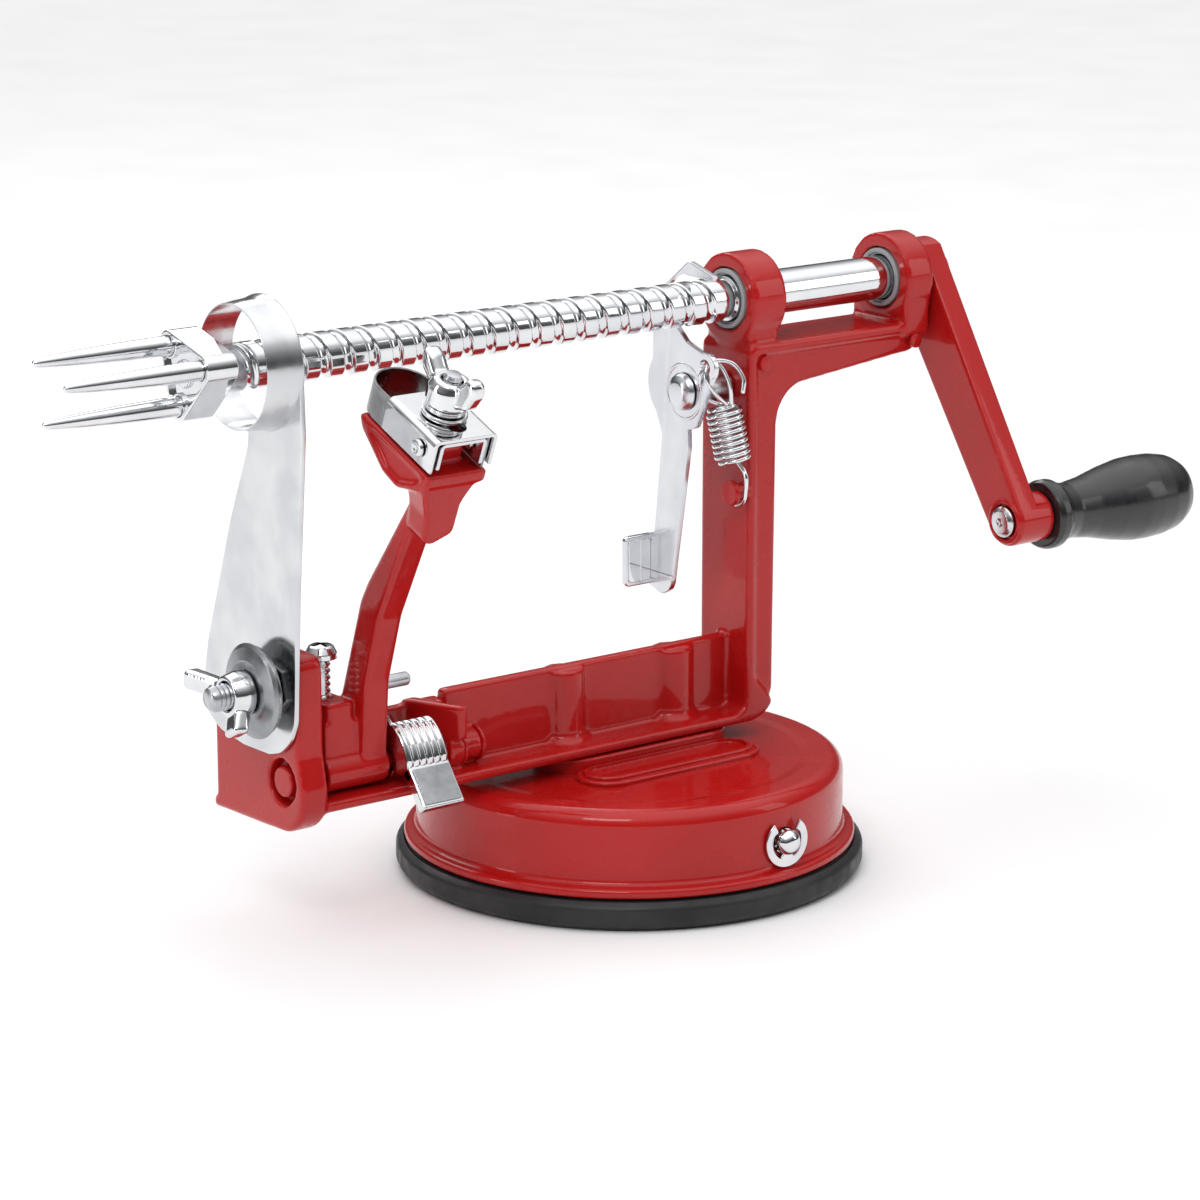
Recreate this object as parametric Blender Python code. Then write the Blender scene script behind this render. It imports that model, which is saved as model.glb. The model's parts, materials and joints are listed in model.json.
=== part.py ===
"""Apple peeler corer: a hand-cranked kitchen tool on a suction base.

Lengths are in millimetres and are scaled to metres when a mesh is made.
The origin is the centre of the base's underside. +X runs along the feed shaft towards
the crank, -Y is the side with the spring and the axle clip, and +Z is up.
"""

import math

import bmesh
import bpy
from mathutils import Matrix, Vector

MM = 0.001

# Clearances
GAP = 0.3
RUNNING = 0.3
CUT = 1.0

# Suction base
BASE_RADIUS = 52.5
RIM_HEIGHT = 6.6
RIM_WIDTH = 8.0
MEMBRANE = 3.0
FLANGE_RADIUS = 50.6
FLANGE_THICKNESS = 1.8
DOME_RADIUS = 47.9
DOME_TOP = 25.4
DOME_WALL = 2.5
DOME_EDGE_RADIUS = 4.0
PLINTH_LENGTH = 48.0
PLINTH_WIDTH = 14.0
PLINTH_Y = -14.0
PLINTH_HEIGHT = 0.9
FOOT_LENGTH = 50.0
FRAME_BOTTOM = 28.9
LID_SCREW_RADIUS = 2.0
LID_SCREW_HEAD = 3.6
LID_SCREW_HEAD_HEIGHT = 2.4
LID_SCREW_DEPTH = 12.0

# Suction cam
CAM_AXLE_X = 5.4
CAM_AXLE_Z = 15.1
CAM_AXLE_RADIUS = 2.8
CAM_RADIUS = 4.1
CAM_OFFSET = 0.9
CAM_WIDTH = 3.0
CAM_SPACING = 20.0
LIFT_PLATE_RADIUS = 14.0
LIFT_PLATE_THICKNESS = 2.0
LIFT_TRAVEL = 1.8
YOKE_WALL = 1.4
CLIP_RADIUS = 5.8
CLIP_THICKNESS = 0.8
CLIP_GROOVE_RADIUS = 2.0
SUCTION_LEVER_LENGTH = 42.0
SUCTION_LEVER_WIDTH = 11.0
SUCTION_LEVER_THICKNESS = 2.4

# Frame casting
BAR_HALF_WIDTH = 8.7
BAR_FLANGE = 2.4
BAR_WEB_TOP = 48.4
BAR_WEB_THICKNESS = 3.2
RIB_RADIUS = 4.6
RIB_POSITIONS = (-18.5, 12.0)
LID_SCREW_POSITIONS = (-18.5, 12.0)
COLUMN_FRONT = 27.0
COLUMN_THICKNESS = 9.0
COLUMN_LIP = 2.4
COLUMN_SET_BACK = 0.9
COLUMN_CORNER = 8.0
SHAFT_HEIGHT = 125.0
BOSS_RADIUS = 10.2
BOSS_SPACING = 45.0
REAR_BOSS_THICKNESS = 7.8
TOP_FLANGE_TOP = 115.5
TOP_FLANGE = 2.6
TOP_WEB_THICKNESS = 15.4
BLOCK_FRONT = -94.0
BLOCK_THICKNESS = 6.7
BLOCK_BOTTOM = 24.5
BLOCK_TOP = 63.5
BLOCK_FAR_SIDE = 24.0
POCKET_WALL_TOP = 45.0
POCKET_WALL_FAR = 6.4
POCKET_WALL_THICKNESS = 2.6
POCKET_END = -49.5
LUG_THICKNESS = 4.0
LUG_RADIUS = 4.6
LUG_COLLAR_RADIUS = 3.5
LUG_COLLAR_LENGTH = 5.2
STUB_Y = -7.0
STUB_Z = 82.5
STUB_LENGTH = 4.6

# Bushes
BUSH_RADIUS = 6.7
BUSH_PROUD = 0.4

# Feed shaft
SHAFT_RADIUS = 5.0
THREAD_PITCH = 6.0
THREAD_DEPTH = 0.8
GROOVE_TOP = 2.5
GROOVE_FLOOR = 1.7
THREAD_TURNS = 21
THREAD_STEPS = 12
TOOTH_TURN = 20
NECK_RADIUS = 4.3
NECK_LENGTH = 2.0
SPIGOT_RADIUS = 4.0

# Fork
HUB_FRONT = -114.9
HUB_LENGTH = 7.5
HUB_LOBE_RADIUS = 3.2
PRONG_CIRCLE = 7.2
PRONG_RADIUS = 2.1
PRONG_TIP_RADIUS = 0.9
PRONG_REACH = 31.3
PRONG_ANGLES = (45.0, 165.0, 285.0)
FORK_SPIGOT_RADIUS = 3.0

# Crank
CRANK_CLEARANCE = 1.5
CRANK_THICKNESS = 6.2
CRANK_WIDTH = 11.5
CRANK_HUB_RADIUS = 8.0
CRANK_LENGTH = 62.4
CRANK_ANGLE = 32.9
CRANK_BOSS_LENGTH = 4.0
CRANK_SCREW_RADIUS = 2.2
CRANK_SCREW_HEAD = 4.6
KNOB_LENGTH = 44.5
KNOB_RADIUS = 9.8
KNOB_COLLAR_RADIUS = 8.0
KNOB_NECK_RADIUS = 6.4
SPINDLE_RADIUS = 2.4
SPINDLE_HEAD_RADIUS = 3.6

# Release lever
LEVER_FRONT = 15.2
LEVER_THICKNESS = 1.4
LEVER_PIVOT_Z = 105.4
LEVER_RIVET_RADIUS = 2.0
LEVER_RIVET_HEAD = 4.25
SPACER_RADIUS = 3.3
TOOTH_RADIUS = 4.45
TOOTH_HALF_HEIGHT = 0.8
TOOTH_THICKNESS = 1.0
EAR_Y = -7.2
EAR_Z = 111.8
EAR_RADIUS = 3.4
EAR_HOLE = 1.9
TAB_DEPTH = 7.0
SPRING_RADIUS = 3.7
SPRING_WIRE = 0.5
SPRING_TURNS = 11

# Peeler arm
HINGE_Y = -2.1
HINGE_Z = 35.7
HINGE_PIN_RADIUS = 2.2
HINGE_HEAD_RADIUS = 3.5
HINGE_HEAD_LENGTH = 3.0
HINGE_RECESS_RADIUS = 5.0
ARM_BOSS_RADIUS = 4.1
ARM_FRONT = -76.0
ARM_WIDTH = 6.6
ARM_BOSS_START = -84.6
ARM_BOSS_END = -69.2
STOP_SCREW_X = -80.2
STOP_SCREW_Y = 3.1
STOP_SCREW_RADIUS = 1.9
STOP_SCREW_HEAD = 3.5
STOP_EAR_BOTTOM = 46.8
STOP_EAR_TOP = 51.0
ARM_PIN_RADIUS = 1.5
ARM_PIN_LENGTH = 7.0
ARM_PIN_Y = -3.4
ARM_PIN_Z = 53.4
TORSION_RADIUS = 3.4
TORSION_WIRE = 0.45

# Peeler head, in its own frame: along the channel, and up from the channel's top face
HEAD_X = -72.4
HEAD_Y = -39.8
HEAD_Z = 113.1
HEAD_TILT = 22.5
CHANNEL_LENGTH = 17.8
CHANNEL_HALF_WIDTH = 7.85
CHANNEL_WALL = 0.9
CHANNEL_HEIGHT = 7.5
CHANNEL_SLIDE = 3.0
BLADE_THICKNESS = 0.6
BLADE_HEIGHT = 7.4
BLADE_REACH = 29.6
CLAMP_AT = 9.0
CLAMP_BOLT_RADIUS = 2.0
HEAD_TOP = 8.6
HEAD_LENGTH = 27.0
HEAD_PAD_HALF_WIDTH = 3.6

# Latch
LATCH_START = -68.4
LATCH_END = -57.8
LATCH_PLATE = 0.9
LATCH_RADIUS = 9.8

# Slicer blade
SLICER_THICKNESS = 1.2
RING_RADIUS = 12.9
RING_BACK_RADIUS = 14.0
RING_LENGTH = 8.4
BOLT_Z = 56.0
BOLT_RADIUS = 2.9
BOLT_LENGTH = 15.0
BOLT_HEAD_RADIUS = 5.0
BOLT_HEAD_HEIGHT = 3.0
CLAMP_NUT_RADIUS = 6.2
CLAMP_NUT_THICKNESS = 2.1
BACK_WASHER_RADIUS = 9.6
BACK_WASHER_THICKNESS = 0.9
FRONT_WASHER_RADIUS = 10.2
FRONT_WASHER_THICKNESS = 1.6
WING_NUT_LENGTH = 5.0
WING_NUT_RADIUS = 4.8
WING_LENGTH = 10.0

SHAFT_AXIS = (0.0, SHAFT_HEIGHT)
HINGE_AXIS = (HINGE_Y, HINGE_Z)
BOLT_AXIS = (0.0, BOLT_Z)
LEVER_AXIS = (0.0, LEVER_PIVOT_Z)


# ---------------------------------------------------------------- building blocks


def clear_scene():
    for obj in list(bpy.data.objects):
        bpy.data.objects.remove(obj, do_unlink=True)


def principled(name, colour, roughness, metallic):
    material = bpy.data.materials.new(name)
    material.use_nodes = True
    shader = material.node_tree.nodes["Principled BSDF"]
    shader.inputs["Base Color"].default_value = (*colour, 1.0)
    shader.inputs["Roughness"].default_value = roughness
    shader.inputs["Metallic"].default_value = metallic
    return material


def red_enamel():
    return principled("red_enamel", (0.42, 0.012, 0.016), 0.18, 0.0)


def chrome():
    return principled("chrome", (0.78, 0.78, 0.79), 0.08, 1.0)


def polished_steel():
    return principled("polished_steel", (0.62, 0.63, 0.65), 0.2, 1.0)


def zinc_steel():
    return principled("zinc_steel", (0.5, 0.51, 0.53), 0.35, 1.0)


def dark_steel():
    return principled("dark_steel", (0.2, 0.19, 0.18), 0.3, 1.0)


def grey_nylon():
    return principled("grey_nylon", (0.3, 0.31, 0.32), 0.45, 0.0)


def black_rubber():
    return principled("black_rubber", (0.012, 0.012, 0.013), 0.6, 0.0)


def black_gloss():
    return principled("black_gloss", (0.008, 0.008, 0.009), 0.22, 0.0)


def point_on(axis, a, b, along):
    """A point from its two cross coordinates and its place along the named axis."""
    if axis == "X":
        return Vector((along, a, b))
    if axis == "Y":
        return Vector((a, along, b))
    return Vector((a, b, along))


def arc(centre_a, centre_b, radius, start, end, steps):
    """Points on an arc, in degrees from the first cross coordinate to the second."""
    points = []
    for index in range(steps + 1):
        angle = math.radians(start + (end - start) * index / steps)
        points.append((centre_a + radius * math.cos(angle), centre_b + radius * math.sin(angle)))
    return points


def rectangle(a_low, a_high, b_low, b_high):
    return [(a_low, b_low), (a_high, b_low), (a_high, b_high), (a_low, b_high)]


def rounded_rectangle(a_low, a_high, b_low, b_high, radius, steps=4):
    points = arc(a_low + radius, b_low + radius, radius, 180, 270, steps)
    points += arc(a_high - radius, b_low + radius, radius, 270, 360, steps)
    points += arc(a_high - radius, b_high - radius, radius, 0, 90, steps)
    points += arc(a_low + radius, b_high - radius, radius, 90, 180, steps)
    return points


def stadium(a_low, a_high, b_low, b_high, steps=8):
    """A slot outline whose round ends are at its low and high first coordinate."""
    radius = (b_high - b_low) / 2
    middle = (b_high + b_low) / 2
    points = arc(a_high - radius, middle, radius, -90, 90, steps)
    points += arc(a_low + radius, middle, radius, 90, 270, steps)
    return points


def prism(outline, axis, low, high):
    mesh = bmesh.new()
    bottom = [mesh.verts.new(point_on(axis, a, b, low)) for a, b in outline]
    top = [mesh.verts.new(point_on(axis, a, b, high)) for a, b in outline]
    mesh.faces.new(bottom)
    mesh.faces.new(list(reversed(top)))
    for index in range(len(outline)):
        after = (index + 1) % len(outline)
        mesh.faces.new((bottom[index], top[index], top[after], bottom[after]))
    return mesh


def turned(profile, axis, centre, segments=24):
    """Turns a closed profile of (radius, place along the axis) points about the axis."""
    mesh = bmesh.new()
    rings = []
    for radius, along in profile:
        if radius == 0:
            rings.append([mesh.verts.new(point_on(axis, centre[0], centre[1], along))])
            continue
        ring = []
        for index in range(segments):
            angle = 2 * math.pi * index / segments
            a = centre[0] + radius * math.cos(angle)
            b = centre[1] + radius * math.sin(angle)
            ring.append(mesh.verts.new(point_on(axis, a, b, along)))
        rings.append(ring)
    for index in range(len(rings)):
        bridge(mesh, rings[index], rings[(index + 1) % len(rings)])
    return mesh


def bridge(mesh, first, second):
    """Faces between two rings, either of which may be a single point on the axis."""
    count = max(len(first), len(second))
    if count == 1:
        return
    for index in range(count):
        after = (index + 1) % count
        corners = [first[index % len(first)], first[after % len(first)]]
        corners += [second[after % len(second)], second[index % len(second)]]
        unique = []
        for corner in corners:
            if corner not in unique:
                unique.append(corner)
        mesh.faces.new(unique)


def rod(radius, axis, centre, low, high, segments=24):
    return turned([(0, low), (radius, low), (radius, high), (0, high)], axis, centre, segments)


def tube(outer, inner, axis, centre, low, high, segments=24):
    profile = [(inner, low), (outer, low), (outer, high), (inner, high)]
    return turned(profile, axis, centre, segments)


def swept_wire(path, radius, sides=6):
    """A round wire along a list of points, with flat ends."""
    mesh = bmesh.new()
    rings = []
    side = None
    for index, place in enumerate(path):
        before = path[max(index - 1, 0)]
        after = path[min(index + 1, len(path) - 1)]
        along = (after - before).normalized()
        if side is None:
            side = along.orthogonal().normalized()
        side = (side - along * side.dot(along)).normalized()
        other = along.cross(side)
        ring = []
        for step in range(sides):
            angle = 2 * math.pi * step / sides
            offset = side * math.cos(angle) + other * math.sin(angle)
            ring.append(mesh.verts.new(place + offset * radius))
        rings.append(ring)
    for first, second in zip(rings, rings[1:]):
        bridge(mesh, first, second)
    mesh.faces.new(list(reversed(rings[0])))
    mesh.faces.new(rings[-1])
    return mesh


def head_matrix():
    """Places the peeler head's own frame (across, along, up) in the object's frame."""
    place = Matrix.Translation((HEAD_X, HEAD_Y, HEAD_Z))
    return place @ Matrix.Rotation(math.radians(HEAD_TILT), 4, "X")


def in_head(mesh):
    bmesh.ops.transform(mesh, matrix=head_matrix(), verts=mesh.verts)
    return mesh


def add_object(name, mesh, pivot, collection):
    """Makes an object of a mesh whose points are in millimetres, with its origin at pivot."""
    bmesh.ops.recalc_face_normals(mesh, faces=mesh.faces)
    if mesh.calc_volume(signed=True) < 0:
        bmesh.ops.reverse_faces(mesh, faces=mesh.faces)
    bmesh.ops.translate(mesh, vec=-Vector(pivot), verts=mesh.verts)
    bmesh.ops.scale(mesh, vec=(MM, MM, MM), verts=mesh.verts)
    data = bpy.data.meshes.new(name)
    mesh.to_mesh(data)
    mesh.free()
    obj = bpy.data.objects.new(name, data)
    obj.location = Vector(pivot) * MM
    collection.objects.link(obj)
    return obj


def piece(name, mesh, material, pivot=(0, 0, 0), smooth=True):
    obj = add_object(name, mesh, pivot, bpy.context.scene.collection)
    obj.data.materials.append(material)
    if smooth:
        obj.data.shade_smooth()
        obj.data.set_sharp_from_angle(angle=math.radians(35))
    return obj


def operand_group(obj, operation):
    """The collection of the object's last Boolean, or a new one if its operation differs."""
    if obj.modifiers and obj.modifiers[-1].operation == operation:
        return obj.modifiers[-1].collection
    group = bpy.data.collections.new(f"{obj.name}_{operation.lower()}_{len(obj.modifiers)}")
    bpy.context.scene.collection.children.link(group)
    modifier = obj.modifiers.new(group.name, "BOOLEAN")
    modifier.operation = operation
    modifier.solver = "EXACT"
    modifier.operand_type = "COLLECTION"
    modifier.collection = group
    return group


def combine(obj, operation, meshes):
    group = operand_group(obj, operation)
    for mesh in meshes:
        tool = add_object(f"{group.name}_{len(group.objects)}", mesh, (0, 0, 0), group)
        tool.hide_render = True
        tool.display_type = "WIRE"


def fuse(obj, *meshes):
    combine(obj, "UNION", meshes)


def cut(obj, *meshes):
    combine(obj, "DIFFERENCE", meshes)


# ---------------------------------------------------------------- suction base


def suction_pad():
    rim_inner = BASE_RADIUS - RIM_WIDTH
    profile = [(0, 0), (BASE_RADIUS - 2.0, 0), (BASE_RADIUS - 0.6, 0.7), (BASE_RADIUS, 2.2)]
    profile += [(BASE_RADIUS, 4.6), (BASE_RADIUS - 0.5, 6.0), (BASE_RADIUS - 1.5, RIM_HEIGHT)]
    profile += [(rim_inner, RIM_HEIGHT), (rim_inner - 2.0, MEMBRANE), (0, MEMBRANE)]
    piece("suction_pad", turned(profile, "Z", (0, 0), 48), black_rubber())


def dome_profile():
    """The dome's shell: flange, wall with a rounded shoulder, and an open underside."""
    flange_bottom = RIM_HEIGHT + GAP
    flange_top = flange_bottom + FLANGE_THICKNESS
    shoulder = DOME_RADIUS - DOME_EDGE_RADIUS
    profile = [(DOME_RADIUS - DOME_WALL, flange_bottom), (FLANGE_RADIUS, flange_bottom)]
    profile += [(FLANGE_RADIUS, flange_top), (DOME_RADIUS, flange_top + 0.4)]
    for r, z in arc(shoulder, DOME_TOP - DOME_EDGE_RADIUS, DOME_EDGE_RADIUS, 0, 90, 5):
        profile.append((r, z))
    profile += [(0, DOME_TOP), (0, DOME_TOP - DOME_WALL)]
    inner = DOME_EDGE_RADIUS - DOME_WALL
    for r, z in arc(shoulder, DOME_TOP - DOME_EDGE_RADIUS, inner, 90, 0, 2):
        profile.append((r, z))
    return profile


def base_dome():
    dome = piece("base_dome", turned(dome_profile(), "Z", (0, 0), 48), red_enamel())
    half_length = PLINTH_LENGTH / 2
    half_width = PLINTH_WIDTH / 2
    plinth = stadium(-half_length, half_length, PLINTH_Y - half_width, PLINTH_Y + half_width, 7)
    fuse(dome, prism(plinth, "Z", DOME_TOP - 1.0, DOME_TOP + PLINTH_HEIGHT))
    foot = stadium(-FOOT_LENGTH / 2, FOOT_LENGTH / 2, -BAR_HALF_WIDTH, BAR_HALF_WIDTH, 7)
    fuse(dome, prism(foot, "Z", DOME_TOP - 1.1, FRAME_BOTTOM - GAP))
    for x in LID_SCREW_POSITIONS:
        hole = rod(LID_SCREW_RADIUS + GAP, "Z", (x, 0), DOME_TOP - 6, FRAME_BOTTOM + CUT, 16)
        cut(dome, hole)
    reach = DOME_RADIUS + 4
    bore = rod(CAM_AXLE_RADIUS + RUNNING, "Y", (CAM_AXLE_X, CAM_AXLE_Z), -reach, reach, 20)
    cut(dome, bore)


def lid_screws():
    head_top = DOME_TOP - DOME_WALL - GAP
    for index, x in enumerate(LID_SCREW_POSITIONS):
        profile = [(0, head_top - LID_SCREW_HEAD_HEIGHT), (LID_SCREW_HEAD, head_top - LID_SCREW_HEAD_HEIGHT)]
        profile += [(LID_SCREW_HEAD, head_top), (LID_SCREW_RADIUS, head_top)]
        profile += [(LID_SCREW_RADIUS, FRAME_BOTTOM + LID_SCREW_DEPTH - 1), (0, FRAME_BOTTOM + LID_SCREW_DEPTH - 1)]
        piece(f"frame_screw_{index + 1}", turned(profile, "Z", (x, 0), 16), zinc_steel())


def axle_centre():
    return (CAM_AXLE_X, CAM_AXLE_Z)


def dome_face_at_axle():
    """How far the dome's outer face is from the mid-plane where the axle comes out."""
    return math.sqrt(DOME_RADIUS**2 - CAM_AXLE_X**2)


def cam_axle():
    clip_inner = dome_face_at_axle() + GAP + 0.2
    clip_outer = clip_inner + CLIP_THICKNESS
    tip = clip_outer + 2.2
    far_end = dome_face_at_axle() + 7.0
    profile = [(0, -tip), (CAM_AXLE_RADIUS - 1.4, -tip), (CAM_AXLE_RADIUS - 0.3, -tip + 0.6)]
    profile += [(CAM_AXLE_RADIUS, -tip + 1.4), (CAM_AXLE_RADIUS, -clip_outer - 0.2)]
    profile += [(CLIP_GROOVE_RADIUS, -clip_outer - 0.2), (CLIP_GROOVE_RADIUS, -clip_inner + 0.2)]
    profile += [(CAM_AXLE_RADIUS, -clip_inner + 0.2), (CAM_AXLE_RADIUS, far_end - 1), (CAM_AXLE_RADIUS - 1, far_end)]
    profile += [(0, far_end)]
    pivot = (CAM_AXLE_X, 0, CAM_AXLE_Z)
    piece("cam_axle", turned(profile, "Y", axle_centre(), 20), chrome(), pivot)


def axle_clip():
    """A spring clip open at the top, with three inner fingers in the axle's groove."""
    low = -(dome_face_at_axle() + GAP + 0.2 + CLIP_THICKNESS)
    gap = 38
    outer = arc(CAM_AXLE_X, CAM_AXLE_Z, CLIP_RADIUS, 90 + gap, 450 - gap, 24)
    inner = []
    for index in range(25):
        angle = 450 - gap - (360 - 2 * gap) * index / 24
        finger = any(abs(angle - centre) < 15 for centre in (270, 395, 145))
        radius = CLIP_GROOVE_RADIUS + GAP if finger else CLIP_RADIUS - 1.9
        inner += arc(CAM_AXLE_X, CAM_AXLE_Z, radius, angle, angle, 1)[:1]
    pivot = (CAM_AXLE_X, 0, CAM_AXLE_Z)
    piece("axle_clip", prism(outer + inner, "Y", low, low + CLIP_THICKNESS), chrome(), pivot)


def lift_cams():
    """Two eccentrics on the axle. Their lobes point down while the suction is off."""
    pivot = (CAM_AXLE_X, 0, CAM_AXLE_Z)
    centre = (CAM_AXLE_X, CAM_AXLE_Z - CAM_OFFSET)
    for name, side in (("lift_cam_near", -1), ("lift_cam_far", 1)):
        middle = side * CAM_SPACING / 2
        low = middle - CAM_WIDTH / 2
        cam = piece(name, rod(CAM_RADIUS, "Y", centre, low, low + CAM_WIDTH, 20), zinc_steel(), pivot)
        bore = rod(CAM_AXLE_RADIUS + GAP, "Y", axle_centre(), low - CUT, low + CAM_WIDTH + CUT, 20)
        cut(cam, bore)


def lift_plate():
    """The plate moulded to the pad's middle, with a yoke round each cam."""
    low = MEMBRANE + GAP
    plate_top = low + LIFT_PLATE_THICKNESS
    plate = piece("lift_plate", rod(LIFT_PLATE_RADIUS, "Z", (0, 0), low, plate_top, 32), zinc_steel())
    reach = CAM_RADIUS + CAM_OFFSET
    half_window = reach + 0.4
    window_top = CAM_AXLE_Z + CAM_RADIUS - CAM_OFFSET + 0.4
    window_bottom = CAM_AXLE_Z - reach - 0.4
    half_yoke = half_window + YOKE_WALL
    for side in (-1, 1):
        middle = side * CAM_SPACING / 2
        outline = rectangle(CAM_AXLE_X - half_yoke, CAM_AXLE_X + half_yoke, plate_top - 0.5, window_top + YOKE_WALL)
        fuse(plate, prism(outline, "Y", middle - 1, middle + 1))
        window = rectangle(CAM_AXLE_X - half_window, CAM_AXLE_X + half_window, window_bottom, window_top)
        cut(plate, prism(window, "Y", middle - 2, middle + 2))


def suction_lever():
    """A flat lever on the axle's far end, lying level along the base."""
    low = dome_face_at_axle() + 2.6
    half = SUCTION_LEVER_WIDTH / 2
    centre_z = CAM_AXLE_Z
    outline = arc(CAM_AXLE_X, centre_z, half, 90, 270, 10)
    tip = CAM_AXLE_X + SUCTION_LEVER_LENGTH
    outline += arc(tip - 3.5, centre_z - 1.0, 3.5, 270, 450, 8)
    pivot = (CAM_AXLE_X, 0, CAM_AXLE_Z)
    lever = prism(outline, "Y", low, low + SUCTION_LEVER_THICKNESS)
    lever = piece("suction_lever", lever, chrome(), pivot)
    hole = rod(CAM_AXLE_RADIUS + GAP, "Y", axle_centre(), low - CUT, low + SUCTION_LEVER_THICKNESS + CUT, 20)
    cut(lever, hole)
    tab = rounded_rectangle(tip - 9, tip, low + 0.5, low + 9, 2)
    fuse(lever, prism(tab, "Z", centre_z - 4.4, centre_z - 2.2))


# ---------------------------------------------------------------- frame


def column_back():
    return COLUMN_FRONT + COLUMN_THICKNESS


def rear_boss_front():
    return COLUMN_FRONT + BOSS_SPACING


def rear_boss_back():
    return rear_boss_front() + REAR_BOSS_THICKNESS


def block_back():
    return BLOCK_FRONT + BLOCK_THICKNESS


def bar_floor():
    return FRAME_BOTTOM + BAR_FLANGE


def frame_outline():
    """The lip that runs under the bar, up the column's front and along the top arm."""
    corner = column_back() - COLUMN_CORNER
    points = [(block_back() - 2, FRAME_BOTTOM)]
    points += arc(corner, FRAME_BOTTOM + COLUMN_CORNER, COLUMN_CORNER, 270, 330, 6)
    points += [(COLUMN_FRONT + COLUMN_LIP, bar_floor() + 8), (COLUMN_FRONT + COLUMN_LIP, TOP_FLANGE_TOP - TOP_FLANGE)]
    points += [(rear_boss_front() + 2, TOP_FLANGE_TOP - TOP_FLANGE), (rear_boss_front() + 2, TOP_FLANGE_TOP)]
    points += [(COLUMN_FRONT, TOP_FLANGE_TOP)]
    points += arc(COLUMN_FRONT - 3, bar_floor() + 3, 3, 0, -90, 3)
    points += [(block_back() - 2, bar_floor())]
    return points


def column_outline():
    """The column's body behind the lip, with the round foot that meets the bar."""
    corner = column_back() - COLUMN_CORNER
    points = arc(corner, FRAME_BOTTOM + COLUMN_CORNER, COLUMN_CORNER - 0.6, 275, 360, 7)
    points += [(column_back(), SHAFT_HEIGHT), (COLUMN_FRONT + 0.8, SHAFT_HEIGHT), (COLUMN_FRONT + 0.8, FRAME_BOTTOM + 1)]
    return points


def top_web_outline():
    """The web under the top arm, swept up from the column to the rear boss."""
    root = column_back() - 2
    end = rear_boss_front() + 6.0
    points = [(root, 100.0)]
    points += arc(column_back() + 9, 96.5, 9, 180, 105, 5)
    points += [(rear_boss_front() + 1, 108.4)]
    points += arc(rear_boss_front() + 2, 112.4, 4, 280, 350, 4)
    points += [(end, TOP_FLANGE_TOP - 1), (root, TOP_FLANGE_TOP - 1)]
    return points


def block_outline():
    """The front block across the bar, with the bulge round the hinge pin's recess."""
    near = -BAR_HALF_WIDTH
    points = arc(HINGE_Y + 1.1, HINGE_Z - 2.1, 9.0, 268, 165, 7)
    points += [(near + 0.4, HINGE_Z + 6.5)]
    points += arc(near + 3.4, BLOCK_TOP - 3, 3, 180, 90, 3)
    points += arc(BLOCK_FAR_SIDE - 7, BLOCK_TOP - 7, 7, 90, 0, 4)
    points += [(BLOCK_FAR_SIDE, BLOCK_BOTTOM + 2.6), (BLOCK_FAR_SIDE + 1.2, BLOCK_BOTTOM + 1.6)]
    points += [(BLOCK_FAR_SIDE + 1.2, BLOCK_BOTTOM - 0.6)]
    return points


def frame_casting():
    frame = piece("frame", prism(frame_outline(), "Y", -BAR_HALF_WIDTH, BAR_HALF_WIDTH), red_enamel())
    inset = BAR_HALF_WIDTH - COLUMN_SET_BACK
    fuse(frame, prism(column_outline(), "Y", -inset, inset))
    half_web = BAR_WEB_THICKNESS / 2
    web = rectangle(POCKET_END - 2, COLUMN_FRONT + 2, FRAME_BOTTOM + 1, BAR_WEB_TOP)
    fuse(frame, prism(web, "Y", -half_web, half_web))
    for x in RIB_POSITIONS:
        fuse(frame, rod(RIB_RADIUS, "Z", (x, 0), FRAME_BOTTOM + 1, BAR_WEB_TOP - 1.0, 20))
    half_top = TOP_WEB_THICKNESS / 2
    fuse(frame, prism(top_web_outline(), "Y", -half_top, half_top))
    add_bosses(frame)
    add_front_block(frame)
    add_hinge_lug(frame)
    stub = tube_hook()
    fuse(frame, stub)
    cut_frame_bores(frame)


def tube_hook():
    """The small hooked stub on the column's front that holds the spring's lower end."""
    low = COLUMN_FRONT - STUB_LENGTH
    profile = [(0, low), (2.6, low), (2.9, low + 0.5), (2.9, low + 1.0), (1.9, low + 1.5)]
    profile += [(1.9, COLUMN_FRONT + 1), (0, COLUMN_FRONT + 1)]
    return turned(profile, "X", (STUB_Y, STUB_Z), 16)


def add_bosses(frame):
    fuse(frame, rod(BOSS_RADIUS, "X", SHAFT_AXIS, COLUMN_FRONT, column_back() + 0.4, 32))
    fuse(frame, rod(BOSS_RADIUS, "X", SHAFT_AXIS, rear_boss_front(), rear_boss_back(), 32))
    half = BAR_HALF_WIDTH + 0.5
    seat = rectangle(-half, half, TOP_FLANGE_TOP - TOP_FLANGE - 0.4, SHAFT_HEIGHT)
    fuse(frame, prism(seat, "X", rear_boss_front() + 0.2, rear_boss_back() - 0.3))


def add_front_block(frame):
    fuse(frame, prism(block_outline(), "X", BLOCK_FRONT, block_back()))
    wall = rectangle(POCKET_WALL_FAR - POCKET_WALL_THICKNESS, POCKET_WALL_FAR, FRAME_BOTTOM + 0.7, POCKET_WALL_TOP)
    fuse(frame, prism(wall, "X", block_back() - 1, POCKET_END + 0.5))


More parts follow.
